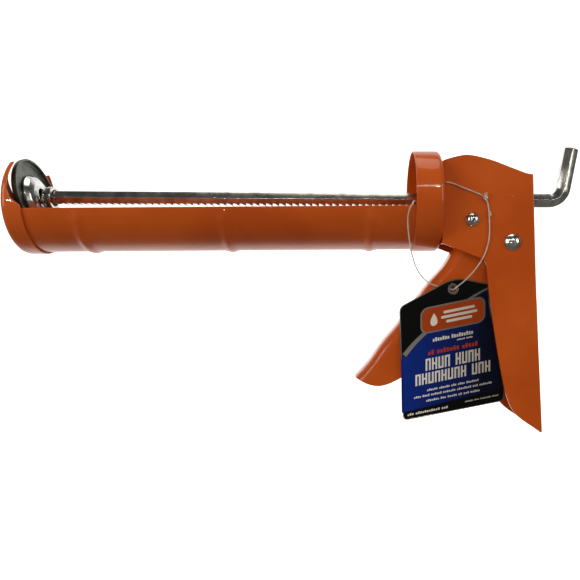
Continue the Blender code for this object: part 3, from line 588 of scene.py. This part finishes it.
def sheetBetween(outerRows, innerRows):
    # closes an outer and an inner grid into one folded sheet
    bm = bmesh.new()
    outer = [[bm.verts.new(p) for p in row] for row in outerRows]
    inner = [[bm.verts.new(p) for p in row] for row in innerRows]
    for grid in (outer, inner):
        for low, high in zip(grid, grid[1:]):
            for k in range(len(low) - 1):
                bm.faces.new((low[k], low[k + 1], high[k + 1], high[k]))
    for row in (0, -1):
        for k in range(len(outer[0]) - 1):
            bm.faces.new((outer[row][k], outer[row][k + 1], inner[row][k + 1], inner[row][k]))
    for k in (0, -1):
        for i in range(len(outer) - 1):
            bm.faces.new((outer[i][k], outer[i + 1][k], inner[i + 1][k], inner[i][k]))
    bmesh.ops.recalc_face_normals(bm, faces=bm.faces)
    return bm


def makeTrigger():
    g = lever
    outer = leverGrid(g["half"], g["bendRadius"], 0.0)
    inner = leverGrid(g["half"] - g["sheet"], g["bendRadius"] - g["sheet"], g["sheet"])
    piece = storePiece(sheetBetween(outer, inner), "trigger", "trigger", enamel, ["trigger"])
    reach = g["half"] - g["sheet"] - g["slotGap"]
    cutWith(piece, prism(leverSlot, -reach, reach))
    softenPiece(piece, 62.0, g["rim"])


# ---- rivets, spacer and the pawl's pin
studs = {"seat": 15.3, "rise": 2.2, "domeSteps": 14, "triggerSpot": (38.0, -23.8), "triggerShank": 2.4,
         "triggerHead": 4.5, "frontSpot": (16.5, -11.7), "frontShank": 2.0, "frontHead": 3.7,
         "spacerHalf": 13.5, "spacerBore": 2.3, "spacerOuter": 3.3, "pinSpot": (41.0, -12.7),
         "pinRadius": 2.0, "pinSeat": 11.3}


def domeProfile(seat, shank, head, rise):
    # full rivet: domed heads with a small rolled edge, and a plain shank
    ball = (head * head + rise * rise) / (2 * rise)
    wide = math.asin(min(1.0, head / ball))
    steps = studs["domeSteps"]
    dome = [(seat + 0.02, head - 0.12), (seat + 0.18, head)]
    for k in range(steps + 1):
        a = wide * (1 - k / steps) * 0.985
        dome.append((seat + rise - ball * (1 - math.cos(a)), ball * math.sin(a)))
    dome = [p for p in dome if p[0] <= seat + rise]
    dome = sorted(dome, key=lambda p: (-p[1], p[0]))
    near = [(-a, r) for a, r in reversed(dome)]
    return near + [(-seat, shank), (seat, shank)] + dome


def makeStuds():
    s = studs
    for name, spot, shank, head, node in (
            ("triggerRivet", s["triggerSpot"], s["triggerShank"], s["triggerHead"], "trigger_rivet"),
            ("frontRivet", s["frontSpot"], s["frontShank"], s["frontHead"], "front_rivet")):
        bm = turned(domeProfile(s["seat"], shank, head, s["rise"]), 96, (spot[0], 0, spot[1]), (0, 1, 0))
        storePiece(bm, name, "frame", zincBright, [node], sharp=50.0)
    half = s["spacerHalf"]
    sleeve = softCorners([(-half, s["spacerBore"], 0.2), (-half, s["spacerOuter"], 0.3),
                          (half, s["spacerOuter"], 0.3), (half, s["spacerBore"], 0.2)], 3)
    bm = turned(sleeve, 64, (s["frontSpot"][0], 0, s["frontSpot"][1]), (0, 1, 0))
    storePiece(bm, "frontSpacer", "frame", zincDull, ["front_spacer"])
    seat, r = s["pinSeat"], s["pinRadius"]
    pin = [(seat, r), (seat, r + 0.9), (seat + 0.3, r + 0.88), (seat + 0.62, r + 0.6), (seat + 0.8, r * 0.6),
           (seat + 0.8, 0.0)]
    whole = [(-a, b) for a, b in reversed(pin)] + pin
    bm = turned(whole, 64, (s["pinSpot"][0], 0, s["pinSpot"][1]), (0, 1, 0))
    storePiece(bm, "pawlPin", "trigger", zincBright, ["pawl_pin"], sharp=45.0)


# ---- toothed hexagonal rod with its turned-up end
rod = {"flats": 7.5, "pitch": 3.7, "depth": 1.4, "lead": 7.5, "start": capFace + 12.6, "teethEnd": 47.3,
       "fillet": 0.45, "bendSteps": 28, "bendStart": 61.8, "bendRadius": 8.5, "bendDegrees": 79.0,
       "leg": 23.0, "tenon": 2.5}
# one tooth: places along it, and how much of the full depth is cut there
toothShape = ((-0.12, 0.86), (0.04, 1.0), (0.3, 0.98), (0.62, 0.86), (2.9, 0.06), (3.12, 0.0), (3.36, 0.0),
              (3.46, 0.1))


def hexSection(depth, shrink):
    # the hexagon with its lower side cut up by depth, and every side drawn in by shrink
    r = rod["flats"] / math.sqrt(3.0)
    h = rod["flats"] / 2
    low = -h + depth
    wide = r + low / math.sqrt(3.0)
    corners = [(r, 0.0), (r / 2, h), (-r / 2, h), (-r, 0.0), (-wide, low), (wide, low)]
    size = 1.0 - shrink / r
    fillet = rod["fillet"]
    lowFillet = fillet * (1 - 0.75 * depth / rod["depth"])
    return softCorners([(y * size, z * size, fillet) for y, z in corners[:4]]
                       + [(y * size, z * size, lowFillet) for y, z in corners[4:]], 3)


def makeRod():
    g = rod
    bm = bmesh.new()
    loops = []

    def addLoop(centre, up, depth, shrink):
        section = hexSection(depth, shrink)
        loops.append([bm.verts.new(centre + Vector((0, y, 0)) + up * z) for y, z in section])

    up = Vector((0, 0, 1))
    start = g["start"]
    for offset, shrink in ((0.0, 0.6), (0.15, 0.3), (0.5, 0.0)):
        addLoop(Vector((start + offset, 0, 0)), up, 0.0, shrink)
    x = start + g["lead"]
    while x + g["pitch"] < g["teethEnd"]:
        for offset, part in toothShape:
            addLoop(Vector((x + offset, 0, 0)), up, g["depth"] * part, 0.0)
        x += g["pitch"]
    addLoop(Vector((x, 0, 0)), up, 0.0, 0.0)
    for k in range(g["bendSteps"] + 1):
        turn = math.radians(g["bendDegrees"] * k / g["bendSteps"])
        centre = Vector((g["bendStart"] + g["bendRadius"] * math.sin(turn), 0,
                         g["bendRadius"] * (1 - math.cos(turn))))
        up = Vector((-math.sin(turn), 0, math.cos(turn)))
        addLoop(centre, up, 0.0, 0.0)
    way = Vector((math.cos(turn), 0, math.sin(turn)))
    for short, shrink in ((0.6, 0.0), (0.35, 0.08), (0.1, 0.35), (0.0, 0.7)):
        addLoop(centre + way * (g["leg"] - short), up, 0.0, shrink)
    count = len(loops[0])
    for low, high in zip(loops, loops[1:]):
        for k in range(count):
            bm.faces.new((low[k], low[(k + 1) % count], high[(k + 1) % count], high[k]))
    bm.faces.new(loops[0])
    bm.faces.new(loops[-1])
    bmesh.ops.recalc_face_normals(bm, faces=bm.faces)
    # the front end is turned down to a round tenon, burred over outside the nut
    tenon = turned(softCorners([(capFace + 0.3, 0.0, 0.0), (capFace + 0.3, g["tenon"], 0.3),
                                (start + 0.3, g["tenon"], 0.0), (start + 0.3, 0.0, 0.0)], 4), 48)
    spare = bpy.data.meshes.new("tenon")
    tenon.to_mesh(spare)
    tenon.free()
    bm.from_mesh(spare)
    bpy.data.meshes.remove(spare)
    storePiece(bm, "ratchetRod", "rod", zincBright, ["ratchet_rod"], sharp=28.0, merge=False,
               line="rod")


# ---- piston: dished disc and cup that rock on the tenon, with a washer, a collar and an end nut
piston = {"x": capFace + 3.9, "lean": 13.0, "disc": 21.5, "sheet": 1.2, "bore": 4.3, "rim": 2.2, "cup": 12.5,
          "cupHeight": 4.5}
# turned rings on the rod: their two ends behind the cap's face, bore and outer radius
rodRings = [("pistonWasher", "piston_hub", "piston_washer", 11.3, 12.3, 2.8, 6.0),
            ("rodCollar", "rod", "rod_collar", 12.9, 15.9, 4.63, 6.3),
            ("rodEndNut", "rod", "rod_end_nut", 0.1, 1.3, 2.8, 6.0)]


def makePiston():
    g = piston
    place, lean = (g["x"], 0, 0), math.radians(-g["lean"])
    half = g["sheet"] / 2
    r = g["disc"]
    outline = softCorners([(-half, g["bore"], 0.2), (-half, r, 1.7), (half + g["rim"], r, 0.3),
                           (half + g["rim"], r - g["sheet"], 0.3), (half, r - g["sheet"], 0.7),
                           (half, g["bore"], 0.2)], 7)
    storePiece(turned(outline, 160, place, lean=lean), "thrustDisc", "piston_disc", zincDull,
               ["thrust_disc"], line="rod")
    low = half + 0.3
    c, h = g["cup"], g["cupHeight"]
    high, knee = low + h, low + 0.68 * h
    outline = softCorners([(low, c, 0.3), (low + 0.9, c, 0.35), (knee, c - 1.7, 2.2), (high, c - 4.4, 1.6),
                           (high, g["bore"], 0.2), (high - 1, g["bore"], 0.2), (high - 1, c - 4.8, 1.0),
                           (knee - 1, c - 2.5, 1.4), (low, c - 1.3, 0.2)], 6)
    storePiece(turned(outline, 128, place, lean=lean), "discCup", "piston_disc", zincBright,
               ["disc_cup"], line="rod")
    for name, body, node, low, high, bore, outer in rodRings:
        low, high = capFace + low, capFace + high
        outline = softCorners([(low, bore, 0.15), (low, outer, 0.35), (high, outer, 0.35),
                               (high, bore, 0.15)], 4)
        storePiece(turned(outline, 96), name, body, zincBright, [node], line="rod")


# ---- springs: round wire wound about the pivot and about the pawl's pin
springs = {"stepsPerTurn": 40, "legSteps": 4, "mainRadius": 4.0, "mainHalf": 5.0, "mainTurns": 6,
           "mainWire": 0.6, "smallRadius": 2.95, "smallLow": 4.2, "smallHigh": 7.6, "smallTurns": 3,
           "smallWire": 0.35}


def tube(points, radius, sides=16):
    # closed round tube along the points
    bm = bmesh.new()
    line = [Vector(p) for p in points]
    ways = [(b - a).normalized() for a, b in zip(line, line[1:])]
    ways = [ways[0]] + [(a + b).normalized() for a, b in zip(ways, ways[1:])] + [ways[-1]]
    side = ways[0].orthogonal().normalized()
    rings = []
    for spot, way in zip(line, ways):
        side = (side - way * side.dot(way)).normalized()
        other = way.cross(side)
        rings.append([bm.verts.new(spot + (side * math.cos(math.tau * k / sides)
                                           + other * math.sin(math.tau * k / sides)) * radius)
                      for k in range(sides)])
    for low, high in zip(rings, rings[1:]):
        for k in range(sides):
            bm.faces.new((low[k], low[(k + 1) % sides], high[(k + 1) % sides], high[k]))
    bm.faces.new(rings[0])
    bm.faces.new(rings[-1])
    bmesh.ops.recalc_face_normals(bm, faces=bm.faces)
    return bm


def coil(place, radius, low, high, turns, startDegrees, endDegrees):
    # the turns of a spring, wound across the gun from low to high
    steps = int(turns * springs["stepsPerTurn"])
    sweep = turns * 360.0 + endDegrees - startDegrees
    line = []
    for k in range(steps + 1):
        a = math.radians(startDegrees + sweep * k / steps)
        line.append((place[0] + radius * math.cos(a), low + (high - low) * k / steps,
                     place[1] + radius * math.sin(a)))
    return line


def makeSprings():
    s = springs
    half, legs = s["mainHalf"], s["legSteps"]
    turns = coil(studs["triggerSpot"], s["mainRadius"], -half, half, s["mainTurns"], 100.0, 10.0)
    moving = [(7.2, -half, -36.2), (13.0, -half, -33.2), (20.0, -half, -28.6), (28.0, -half, -23.0)]
    fixed = [(45.0, half, -29.0), (48.0, half, -41.0)]
    wire = through(moving, legs) + turns + through(fixed, legs)
    storePiece(tube(wire, s["mainWire"]), "returnSpring", "frame", springSteel,
               ["return_spring"])
    low, high = s["smallLow"], s["smallHigh"]
    turns = coil(studs["pinSpot"], s["smallRadius"], low, high, s["smallTurns"], 150.0, 300.0)
    nose = [(33.6, low, -8.8), (36.4, low, -9.2)]
    stay = [(38.0, high, -18.2), (30.0, high, -18.6)]
    wire = through(nose, legs) + turns + through(stay, legs)
    storePiece(tube(wire, s["smallWire"], 12), "pawlSpring", "trigger", springSteel,
               ["pawl_spring"])


# ---- pawl and holding leaf
leafSizes = {"inner": 3.6, "thick": 0.6, "top": -4.73, "half": 4.0, "edge": 0.12}
pawlSizes = {"eye": 3.7, "bore": 2.3, "half": 3.0, "nose": -5.05, "edge": 0.25}


def makeRatchetParts():
    p = pawlSizes
    px, pz = studs["pinSpot"]
    outline = [(px + p["eye"] * math.cos(math.radians(a)), pz + p["eye"] * math.sin(math.radians(a)))
               for a in range(-150, 91, 6)]
    outline += [(px - 2.4, pz + 3.6), (px - 6.6, p["nose"]), (px - 8.4, p["nose"] - 0.5),
                (px - 7.6, p["nose"] - 3.4)]
    bm = prism(outline, -p["half"], p["half"])
    softEdges(bm, 60.0, p["edge"], 3)
    piece = storePiece(bm, "drivePawl", "pawl", springSteel, ["drive_pawl"], sharp=35.0)
    cutWith(piece, bored((px, 0, pz), p["bore"], p["half"] + 2))
    flatten(piece)
    f = leafSizes
    fx, fz = studs["frontSpot"]
    outer = f["inner"] + f["thick"]
    hook = [(fx + outer * math.cos(math.radians(a)), fz + outer * math.sin(math.radians(a)))
            for a in range(210, 59, -5)]
    back = [(fx + f["inner"] * math.cos(math.radians(a)), fz + f["inner"] * math.sin(math.radians(a)))
            for a in range(60, 211, 5)]
    tip = [(fx + 5.6, fz + 4.2), (fx + 8.0, f["top"]), (fx + 8.4, f["top"] - 0.5), (fx + 5.9, fz + 3.4)]
    bm = prism(hook + tip + back, -f["half"], f["half"])
    softEdges(bm, 60.0, f["edge"], 2)
    storePiece(bm, "holdingLeaf", "frame", springSteel, ["holding_leaf"], sharp=35.0)


makeHandle()
makeTrigger()
print("rivets and rod")
makeStuds()
makeRod()
makePiston()
print("springs")
makeSprings()
makeRatchetParts()


# ---- hanging tag: laminated card with raised inks, and no lettering, only letter-like blocks
tag = {"front": -13.1, "back": -12.6, "hole": (6.5, -49.0), "holeRadius": 2.65, "slope": 11.5, "centre": 6.3,
       "layer": 0.03, "border": 0.45, "borderStart": 0.18, "shadeFrom": -22.0, "shadeTo": 26.0}
tagCorners = [(-22.6, -58.8, 3.0), (-20.5, -120.0, 3.0), (33.9, -109.2, 3.0), (35.6, -48.2, 3.0),
              (7.2, -42.6, 7.0)]
bandCurve = [(-21.9, -87.4), (-15.6, -79.6), (-8.6, -72.6), (0.0, -65.6), (8.4, -59.3), (16.8, -53.3),
             (24.4, -49.0), (34.9, -44.6)]


def cardOutline(inset):
    # the card's edge with its corners rounded, drawn in by inset
    outline = []
    steps = 8
    for k, (x, z, r) in enumerate(tagCorners):
        here = Vector((x, z))
        before = (Vector(tagCorners[k - 1][:2]) - here).normalized()
        after = (Vector(tagCorners[(k + 1) % len(tagCorners)][:2]) - here).normalized()
        for step in range(steps + 1):
            t = step / steps
            spot = (here + before * r) * (1 - t) ** 2 + here * 2 * t * (1 - t) + (here + after * r) * t ** 2
            outline.append(spot)
    if inset:
        count = len(outline)
        moved = []
        for k, spot in enumerate(outline):
            way = (outline[(k + 1) % count] - outline[k - 1]).normalized()
            moved.append(spot + Vector((-way.y, way.x)) * inset)
        outline = moved
    return [(p.x, p.y) for p in outline]


def pageSpot(u, v):
    # a place on the print: u along the sloping lines, v up the card
    return (tag["centre"] + u, v + u * math.tan(math.radians(tag["slope"])))


def makeInk(name, unshadedColour, paintedShadeColour, gloss, metallic=0.0):
    # Ink under a gloss laminate, a little uneven, with painted shade that darkens it across the card's width towards
    # the right.
    material, tree, shader, place = startMaterial(name, {
        "Roughness": gloss, "Metallic": metallic, "Specular IOR Level": 0.12, "Coat Weight": 0.25,
        "Coat Roughness": 0.08})
    split = addNode(tree, "ShaderNodeSeparateXYZ", links={"Vector": place})
    # painted shade: each ink runs from its own colour at the card's left edge to a darker shaded colour at its right
    # edge
    left, right = datum.x + tag["shadeFrom"] * mm, datum.x + tag["shadeTo"] * mm
    across = addNode(tree, "ShaderNodeMapRange", {"From Min": left, "From Max": right},
                     {"Value": split.outputs["X"]})
    # ink mottle about 1 mm apart
    mottle = addNode(tree, "ShaderNodeTexNoise", {"Scale": 900.0, "Detail": 3.0}, {"Vector": place})
    mixed = addNode(tree, "ShaderNodeMath", {"operation": "MULTIPLY_ADD", 1: 0.12},
                    {0: mottle.outputs["Fac"], 2: across.outputs["Result"]})
    tint = addNode(tree, "ShaderNodeValToRGB", links={"Fac": mixed.outputs["Value"]})
    tint.color_ramp.elements[0].position = 0.05
    tint.color_ramp.elements[0].color = linear(unshadedColour)
    tint.color_ramp.elements[1].position = 1.0
    tint.color_ramp.elements[1].color = linear(paintedShadeColour)
    tree.links.new(tint.outputs["Color"], shader.inputs["Base Color"])
    wave = addNode(tree, "ShaderNodeBump", {"Strength": 0.04, "Distance": 0.0002},
                   {"Height": mottle.outputs["Fac"]})
    tree.links.new(wave.outputs["Normal"], shader.inputs["Normal"])
    return material


# the inks' places in the card's list of materials
card, blue, silver, white, red, brown, board = range(7)
# rows of letter-like blocks: place up the card, width, block height, blocks in each word, ink, bold, centre
blockRows = [(-74.2, 22.0, 2.1, (7, 9), white, False, 0.0),
             (-76.7, 8.5, 0.9, (5, 4), white, False, 6.4),
             (-80.8, 27.0, 2.5, (2, 7, 5), red, False, 0.0),
             (-87.0, 30.0, 6.4, (4, 4), white, True, 0.0),
             (-94.3, 41.0, 6.0, (8, 3), white, True, 0.0),
             (-100.7, 28.0, 1.15, (6, 6, 3, 4, 7), white, False, 0.0),
             (-103.4, 42.0, 1.15, (4, 4, 6, 7, 8, 3, 7), white, False, 0.0),
             (-106.3, 29.0, 1.15, (7, 3, 5, 2, 3, 5), white, False, 0.0),
             (-111.9, 22.0, 1.25, (3, 11, 3), white, False, -13.6),
             (-114.4, 12.0, 0.7, (4, 2, 5), white, False, -17.4),
             (-111.0, 18.0, 0.7, (6, 4, 8, 5), white, False, 15.5)]
badge = {"height": -63.1, "dropAt": -10.2, "barAt": 3.4, "barHalf": 0.7,
         "bars": ((2.6, 17.0), (0.0, 19.5), (-2.6, 14.0))}


def makeTag():
    t = tag
    # each ink's second colour is its painted shade at the card's right edge
    inks = [makeInk("laminatedCard", "#07090A", "#050606", 0.3),
            makeInk("blueInk", "#0B2C8C", "#04071F", 0.32),
            makeInk("silverInk", "#9C9C98", "#6C6C6A", 0.35, 0.6),
            makeInk("whiteInk", "#F2F1EC", "#A6A49C", 0.35),
            makeInk("redInk", "#B8401F", "#8A2C14", 0.35),
            makeInk("brownInk", "#A8441A", "#8C3612", 0.3),
            makeInk("whiteBoard", "#BDBDB8", "#9A9A95", 0.6)]
    bm = prism(cardOutline(0.0), t["front"], t["back"])
    for face in bm.faces:
        face.material_index = card if face.normal.y < -0.9 else board
    piece = storePiece(bm, "hangTag", "frame", inks, ["hang_tag"], sharp=30.0)
    cutWith(piece, bored((t["hole"][0], 0, t["hole"][1]), t["holeRadius"], 20.0))
    bm = bmesh.new()

    def printed(outline, ink, level):
        low = t["front"] - t["layer"] * level
        layer = prism(outline, low, t["front"] + 0.05)
        spare = bpy.data.meshes.new("layer")
        layer.to_mesh(spare)
        layer.free()
        count = len(bm.faces)
        bm.from_mesh(spare)
        bpy.data.meshes.remove(spare)
        bm.faces.ensure_lookup_table()
        for face in bm.faces[count:]:
            face.material_index = ink

    def block(u, v, width, height, ink):
        a, b = u - width / 2, u + width / 2
        printed([pageSpot(a, v - height / 2), pageSpot(b, v - height / 2), pageSpot(b, v + height / 2),
                 pageSpot(a, v + height / 2)], ink, 2)

    def panel(width, height, fillet):
        corners = [(-width / 2, -height / 2), (width / 2, -height / 2), (width / 2, height / 2),
                   (-width / 2, height / 2)]
        rounded = softCorners([(u, v, fillet) for u, v in corners], 8)
        return [pageSpot(u, v + badge["height"]) for u, v in rounded]

    def blockLine(v, width, height, words, ink, bold, centre):
        cells = sum(words) + 0.7 * (len(words) - 1)
        cell = width / cells
        u = centre - width / 2
        number = 0
        for word in words:
            for _ in range(word):
                middle = u + cell / 2
                if bold:
                    stem = cell * 0.27
                    block(middle - cell * 0.28, v, stem, height, ink)
                    block(middle + cell * 0.26, v, stem, height, ink)
                    bar = (0.42, 0.0, -0.42)[number % 3]
                    block(middle, v + bar * height, cell * 0.3, height * 0.16, ink)
                else:
                    size = height * (0.72, 1.0, 0.82)[number % 3]
                    block(middle, v - (height - size) / 2, cell * 0.72, size, ink)
                u += cell
                number += 1
            u += cell * 0.7

    # blue field under the curved silver band, and a pale line round the whole card
    low = cardOutline(t["border"] + 0.35)
    line = smoothLine(bandCurve, 6)
    leftEdge = min(low)[0]
    field = [p for p in line if leftEdge < p[0] < 34.4]
    field = [(leftEdge + 0.05, field[0][1] - 0.6)] + field + [(34.5, field[-1][1] - 2.6)]
    foot = [pageSpot(27.0, -107.6), pageSpot(leftEdge - t["centre"] + 0.4, -110.2)]
    printed(field + [(33.4, foot[0][1] + 4)] + foot, blue, 1)
    band = []
    for k, (x, z) in enumerate(line):
        share = k / (len(line) - 1)
        half = 0.5 * (2.5 * (1 - share) + 0.7 * share)
        a, b = line[max(0, k - 1)], line[min(len(line) - 1, k + 1)]
        way = (Vector(b) - Vector(a)).normalized()
        band.append(((x - way.y * half, z + way.x * half), (x + way.y * half, z - way.x * half)))
    band = [pair for pair in band if pair[0][0] > leftEdge - 0.1 and pair[1][0] < 34.6]
    printed([pair[0] for pair in band] + [pair[1] for pair in reversed(band)], silver, 2)
    outer, inner = cardOutline(t["borderStart"]), cardOutline(t["border"])
    count = len(outer)
    for k in range(count):
        printed([outer[k], outer[(k + 1) % count], inner[(k + 1) % count], inner[k]], silver, 1)
    # badge: a rounded panel in a silver rim, with a plain drop and three bars
    g = badge
    printed(panel(35.0, 14.2, 4.2), silver, 3)
    printed(panel(33.4, 12.6, 3.6), brown, 4)
    angles = [math.tau * k / 36 for k in range(36)]
    drop = [(2.6 * math.sin(a) * math.sin(a / 2) ** 1.2, 3.4 * math.cos(a)) for a in angles]
    printed([pageSpot(u + g["dropAt"], v + g["height"] - 0.2) for u, v in drop], white, 5)
    for rise, width in g["bars"]:
        half = g["barHalf"]
        bar = softCorners([(-width / 2, -half, 0.65), (width / 2, -half, 0.65), (width / 2, half, 0.65),
                           (-width / 2, half, 0.65)])
        printed([pageSpot(g["barAt"] + u, rise + g["height"] + v) for u, v in bar], white, 5)
    for row in blockRows:
        blockLine(*row)
    putInPlace(bm)
    bm.from_mesh(piece.data)
    bm.to_mesh(piece.data)
    bm.free()
    ring = softCorners([(-0.42, 1.6, 0.1), (-0.42, 2.95, 0.1), (-0.28, 2.95, 0.05), (-0.28, 2.4, 0.0),
                        (0.28, 2.4, 0.0), (0.28, 2.95, 0.05), (0.42, 2.95, 0.1), (0.42, 1.6, 0.1)], 3)
    storePiece(turned(ring, 64, (t["hole"][0], (t["front"] + t["back"]) / 2, t["hole"][1]), (0, 1, 0)),
               "tagEyelet", "frame", zincBright, ["tag_eyelet"])


# ---- string: one clear line from beside the collar, through the eyelet and up round the trough's edge
string = {"diameter": 0.7, "length": 0.169, "knot": (23.2, -16.7, -0.4), "lowerKnot": (25.4, -16.6, -9.5)}
stringRoute = [(0.8, -14.9, 8.3), (2.4, -15.7, 8.2), (5.2, -15.85, 7.7), (10.5, -15.8, 5.6),
               (17.0, -15.75, 3.0), (22.2, -15.7, 0.6), (24.6, -15.7, -3.6), (25.4, -15.7, -12.0),
               (25.2, -15.7, -22.0), (22.6, -15.7, -31.0), (17.8, -15.3, -38.6), (12.6, -14.9, -44.2),
               (8.8, -14.7, -47.4), (7.3, -14.3, -48.8), (6.6, -13.3, -49.3), (6.3, -12.4, -49.3),
               (4.6, -11.75, -48.9), (1.0, -11.8, -48.0), (-3.0, -11.8, -47.1), (-6.8, -12.2, -45.3),
               (-10.6, -13.6, -42.0), (-14.0, -15.8, -36.9), (-16.8, -18.9, -28.8), (-18.6, -22.4, -19.4),
               (-19.2, -25.2, -11.6), (-18.2, -27.1, -7.0), (-17.0, -27.3, -5.0), (-16.2, -26.7, -3.6),
               (-15.4, -25.2, -3.3), (-13.4, -22.4, -3.8), (-9.4, -17.4, -4.4), (-4.8, -11.6, -4.2),
               (-1.2, -7.6, -3.6)]


def makeNylon():
    # Clear fishing-line nylon: soft glassy sheen, faintly cloudy along its length.
    material, tree, shader, place = startMaterial("clearNylon", {
        "Roughness": 0.18, "IOR": 1.53, "Transmission Weight": 0.35, "Subsurface Weight": 0.2,
        "Subsurface Scale": 0.0005})
    cloud = addNode(tree, "ShaderNodeTexNoise", {"Scale": 400.0, "Detail": 2.0}, {"Vector": place})
    tint = addNode(tree, "ShaderNodeValToRGB", links={"Fac": cloud.outputs["Fac"]})
    tint.color_ramp.elements[0].color = linear("#C9C2BC")
    tint.color_ramp.elements[1].color = linear("#EFEAE6")
    tree.links.new(tint.outputs["Color"], shader.inputs["Base Color"])
    return material


def makeString():
    s = string
    nylon = makeNylon()
    route = through(stringRoute, 12)
    cord = storePiece(tube(route, s["diameter"] / 2, 12), "tagString", "frame", nylon,
                      ["tag_string"])
    for name, spot, size, node in (("stringKnot", s["knot"], 1.0, "string_knot"),
                                   ("lowerKnot", s["lowerKnot"], 0.72, "string_knot_lower")):
        # a small trefoil, with the two cut ends standing up from it
        loop = []
        for k in range(97):
            a = math.tau * k / 96 * 0.985 + 0.3
            loop.append(Vector((math.sin(a) + 2 * math.sin(2 * a), -math.sin(3 * a) * 0.8,
                                math.cos(a) - 2 * math.cos(2 * a))) * 0.36 * size + Vector(spot))
        firstEnd = Vector(spot) + Vector((-0.7, -0.2, 2.4)) * size
        lastEnd = Vector(spot) + Vector((0.5, -0.3, 2.9)) * size
        line = through([firstEnd] + loop[::4] + [lastEnd], 4)
        storePiece(tube(line, 0.3 * size, 10), name, "frame", nylon, [node])


# ---- studio: pale sweep, soft panels above and beside the gun, and small lamps that give the paint its bright specks
studio = {"floor": -0.32, "front": -1.4, "back": 0.9, "curve": 0.45, "top": 1.7, "half": 2.4, "world": 0.07,
          "glow": 0.75, "paleFrom": 0.05, "glowFrom": 0.14, "glowTo": 0.3, "aim": (-0.11, 0.0, 0.0),
          "warmWhite": "#FFF3E4", "lampSize": 0.022}
# soft panels: place, size and power
panels = {"overheadPanel": ((-0.1, 0.02, 1.15), (0.9, 0.6), 4.4),
          "keyStrip": ((0.05, -0.95, 0.55), (0.7, 0.05), 1.6),
          "leftPanel": ((-1.15, -0.75, 0.3), (0.6, 0.8), 7.4),
          "rightPanel": ((1.25, -0.75, 0.4), (0.6, 0.8), 7.0),
          "lowPanel": ((-0.3, -1.2, -0.1), (0.05, 0.05), 0.5)}
# small round lamps: place and power
lamps = [((-0.34, -0.62, -0.44), 0.25), ((-0.2, -0.6, -0.5), 0.25), ((0.16, -0.7, 0.4), 0.3),
         ((-0.35, -0.8, 0.42), 0.3), ((-0.76, -0.9, 0.08), 0.35), ((0.42, -0.6, -0.2), 0.25)]


def makeLamp(name, spot, size, power):
    # one size makes a round lamp, two make a panel
    data = bpy.data.lights.new(name, "AREA")
    data.shape = "DISK" if len(size) == 1 else "RECTANGLE"
    data.size = size[0]
    if len(size) == 2:
        data.size_y = size[1]
    data.energy = power
    data.color = linear(studio["warmWhite"])[:3]
    lamp = bpy.data.objects.new(name, data)
    lamp.location = spot
    lamp.rotation_euler = (Vector(studio["aim"]) - Vector(spot)).to_track_quat("-Z", "Y").to_euler()
    bpy.context.scene.collection.objects.link(lamp)


def makeStudio():
    s = studio
    bm = bmesh.new()
    profile = [(s["front"], s["floor"]), (s["back"] - s["curve"], s["floor"])]
    profile += [(s["back"] - s["curve"] + s["curve"] * math.sin(math.radians(a)),
                 s["floor"] + s["curve"] * (1 - math.cos(math.radians(a)))) for a in range(6, 91, 6)]
    profile.append((s["back"], s["top"]))
    rows = [[bm.verts.new((x, y, z)) for y, z in profile] for x in (-s["half"], s["half"])]
    for k in range(len(profile) - 1):
        bm.faces.new((rows[0][k], rows[1][k], rows[1][k + 1], rows[0][k + 1]))
    mesh = bpy.data.meshes.new("paleSweep")
    bm.to_mesh(mesh)
    bm.free()
    mesh.shade_smooth()
    sweep = bpy.data.objects.new("paleSweep", mesh)
    bpy.context.scene.collection.objects.link(sweep)
    material, tree, shader, place = startMaterial("palePaper", {"Roughness": 0.9, "Specular IOR Level": 0.0})
    shader.inputs["Emission Color"].default_value = linear("#FFFFFF")
    split = addNode(tree, "ShaderNodeSeparateXYZ", links={"Vector": place})
    grain = addNode(tree, "ShaderNodeTexNoise", {"Scale": 3.0}, {"Vector": place})
    depth = addNode(tree, "ShaderNodeMapRange", {"From Min": s["paleFrom"], "From Max": s["glowTo"]},
                    {"Value": split.outputs["Y"]})
    shade = addNode(tree, "ShaderNodeMath", {"operation": "MULTIPLY_ADD", 1: 0.05},
                    {0: grain.outputs["Fac"], 2: depth.outputs["Result"]})
    tint = addNode(tree, "ShaderNodeValToRGB", links={"Fac": shade.outputs["Value"]})
    tint.color_ramp.elements[0].color = linear("#6A6A68")
    tint.color_ramp.elements[1].color = linear("#FAFAF9")
    tree.links.new(tint.outputs["Color"], shader.inputs["Base Color"])
    # the paper glows behind the gun and stays plain and darker below it
    glow = addNode(tree, "ShaderNodeMapRange",
                   {"From Min": s["glowFrom"], "From Max": s["glowTo"], "To Min": 0.0, "To Max": s["glow"]},
                   {"Value": split.outputs["Y"]})
    tree.links.new(glow.outputs["Result"], shader.inputs["Emission Strength"])
    mesh.materials.append(material)
    world = bpy.data.worlds.new("softRoom")
    world.use_nodes = True
    world.node_tree.nodes["Background"].inputs["Color"].default_value = linear("#F4F2EE")
    world.node_tree.nodes["Background"].inputs["Strength"].default_value = s["world"]
    bpy.context.scene.world = world
    for name, (spot, size, power) in panels.items():
        makeLamp(name, spot, size, power)
    for k, (spot, power) in enumerate(lamps):
        makeLamp("lamp%d" % (k + 1), spot, (s["lampSize"],), power)


print("tag and string")
makeTag()
makeString()
print("studio")
makeStudio()
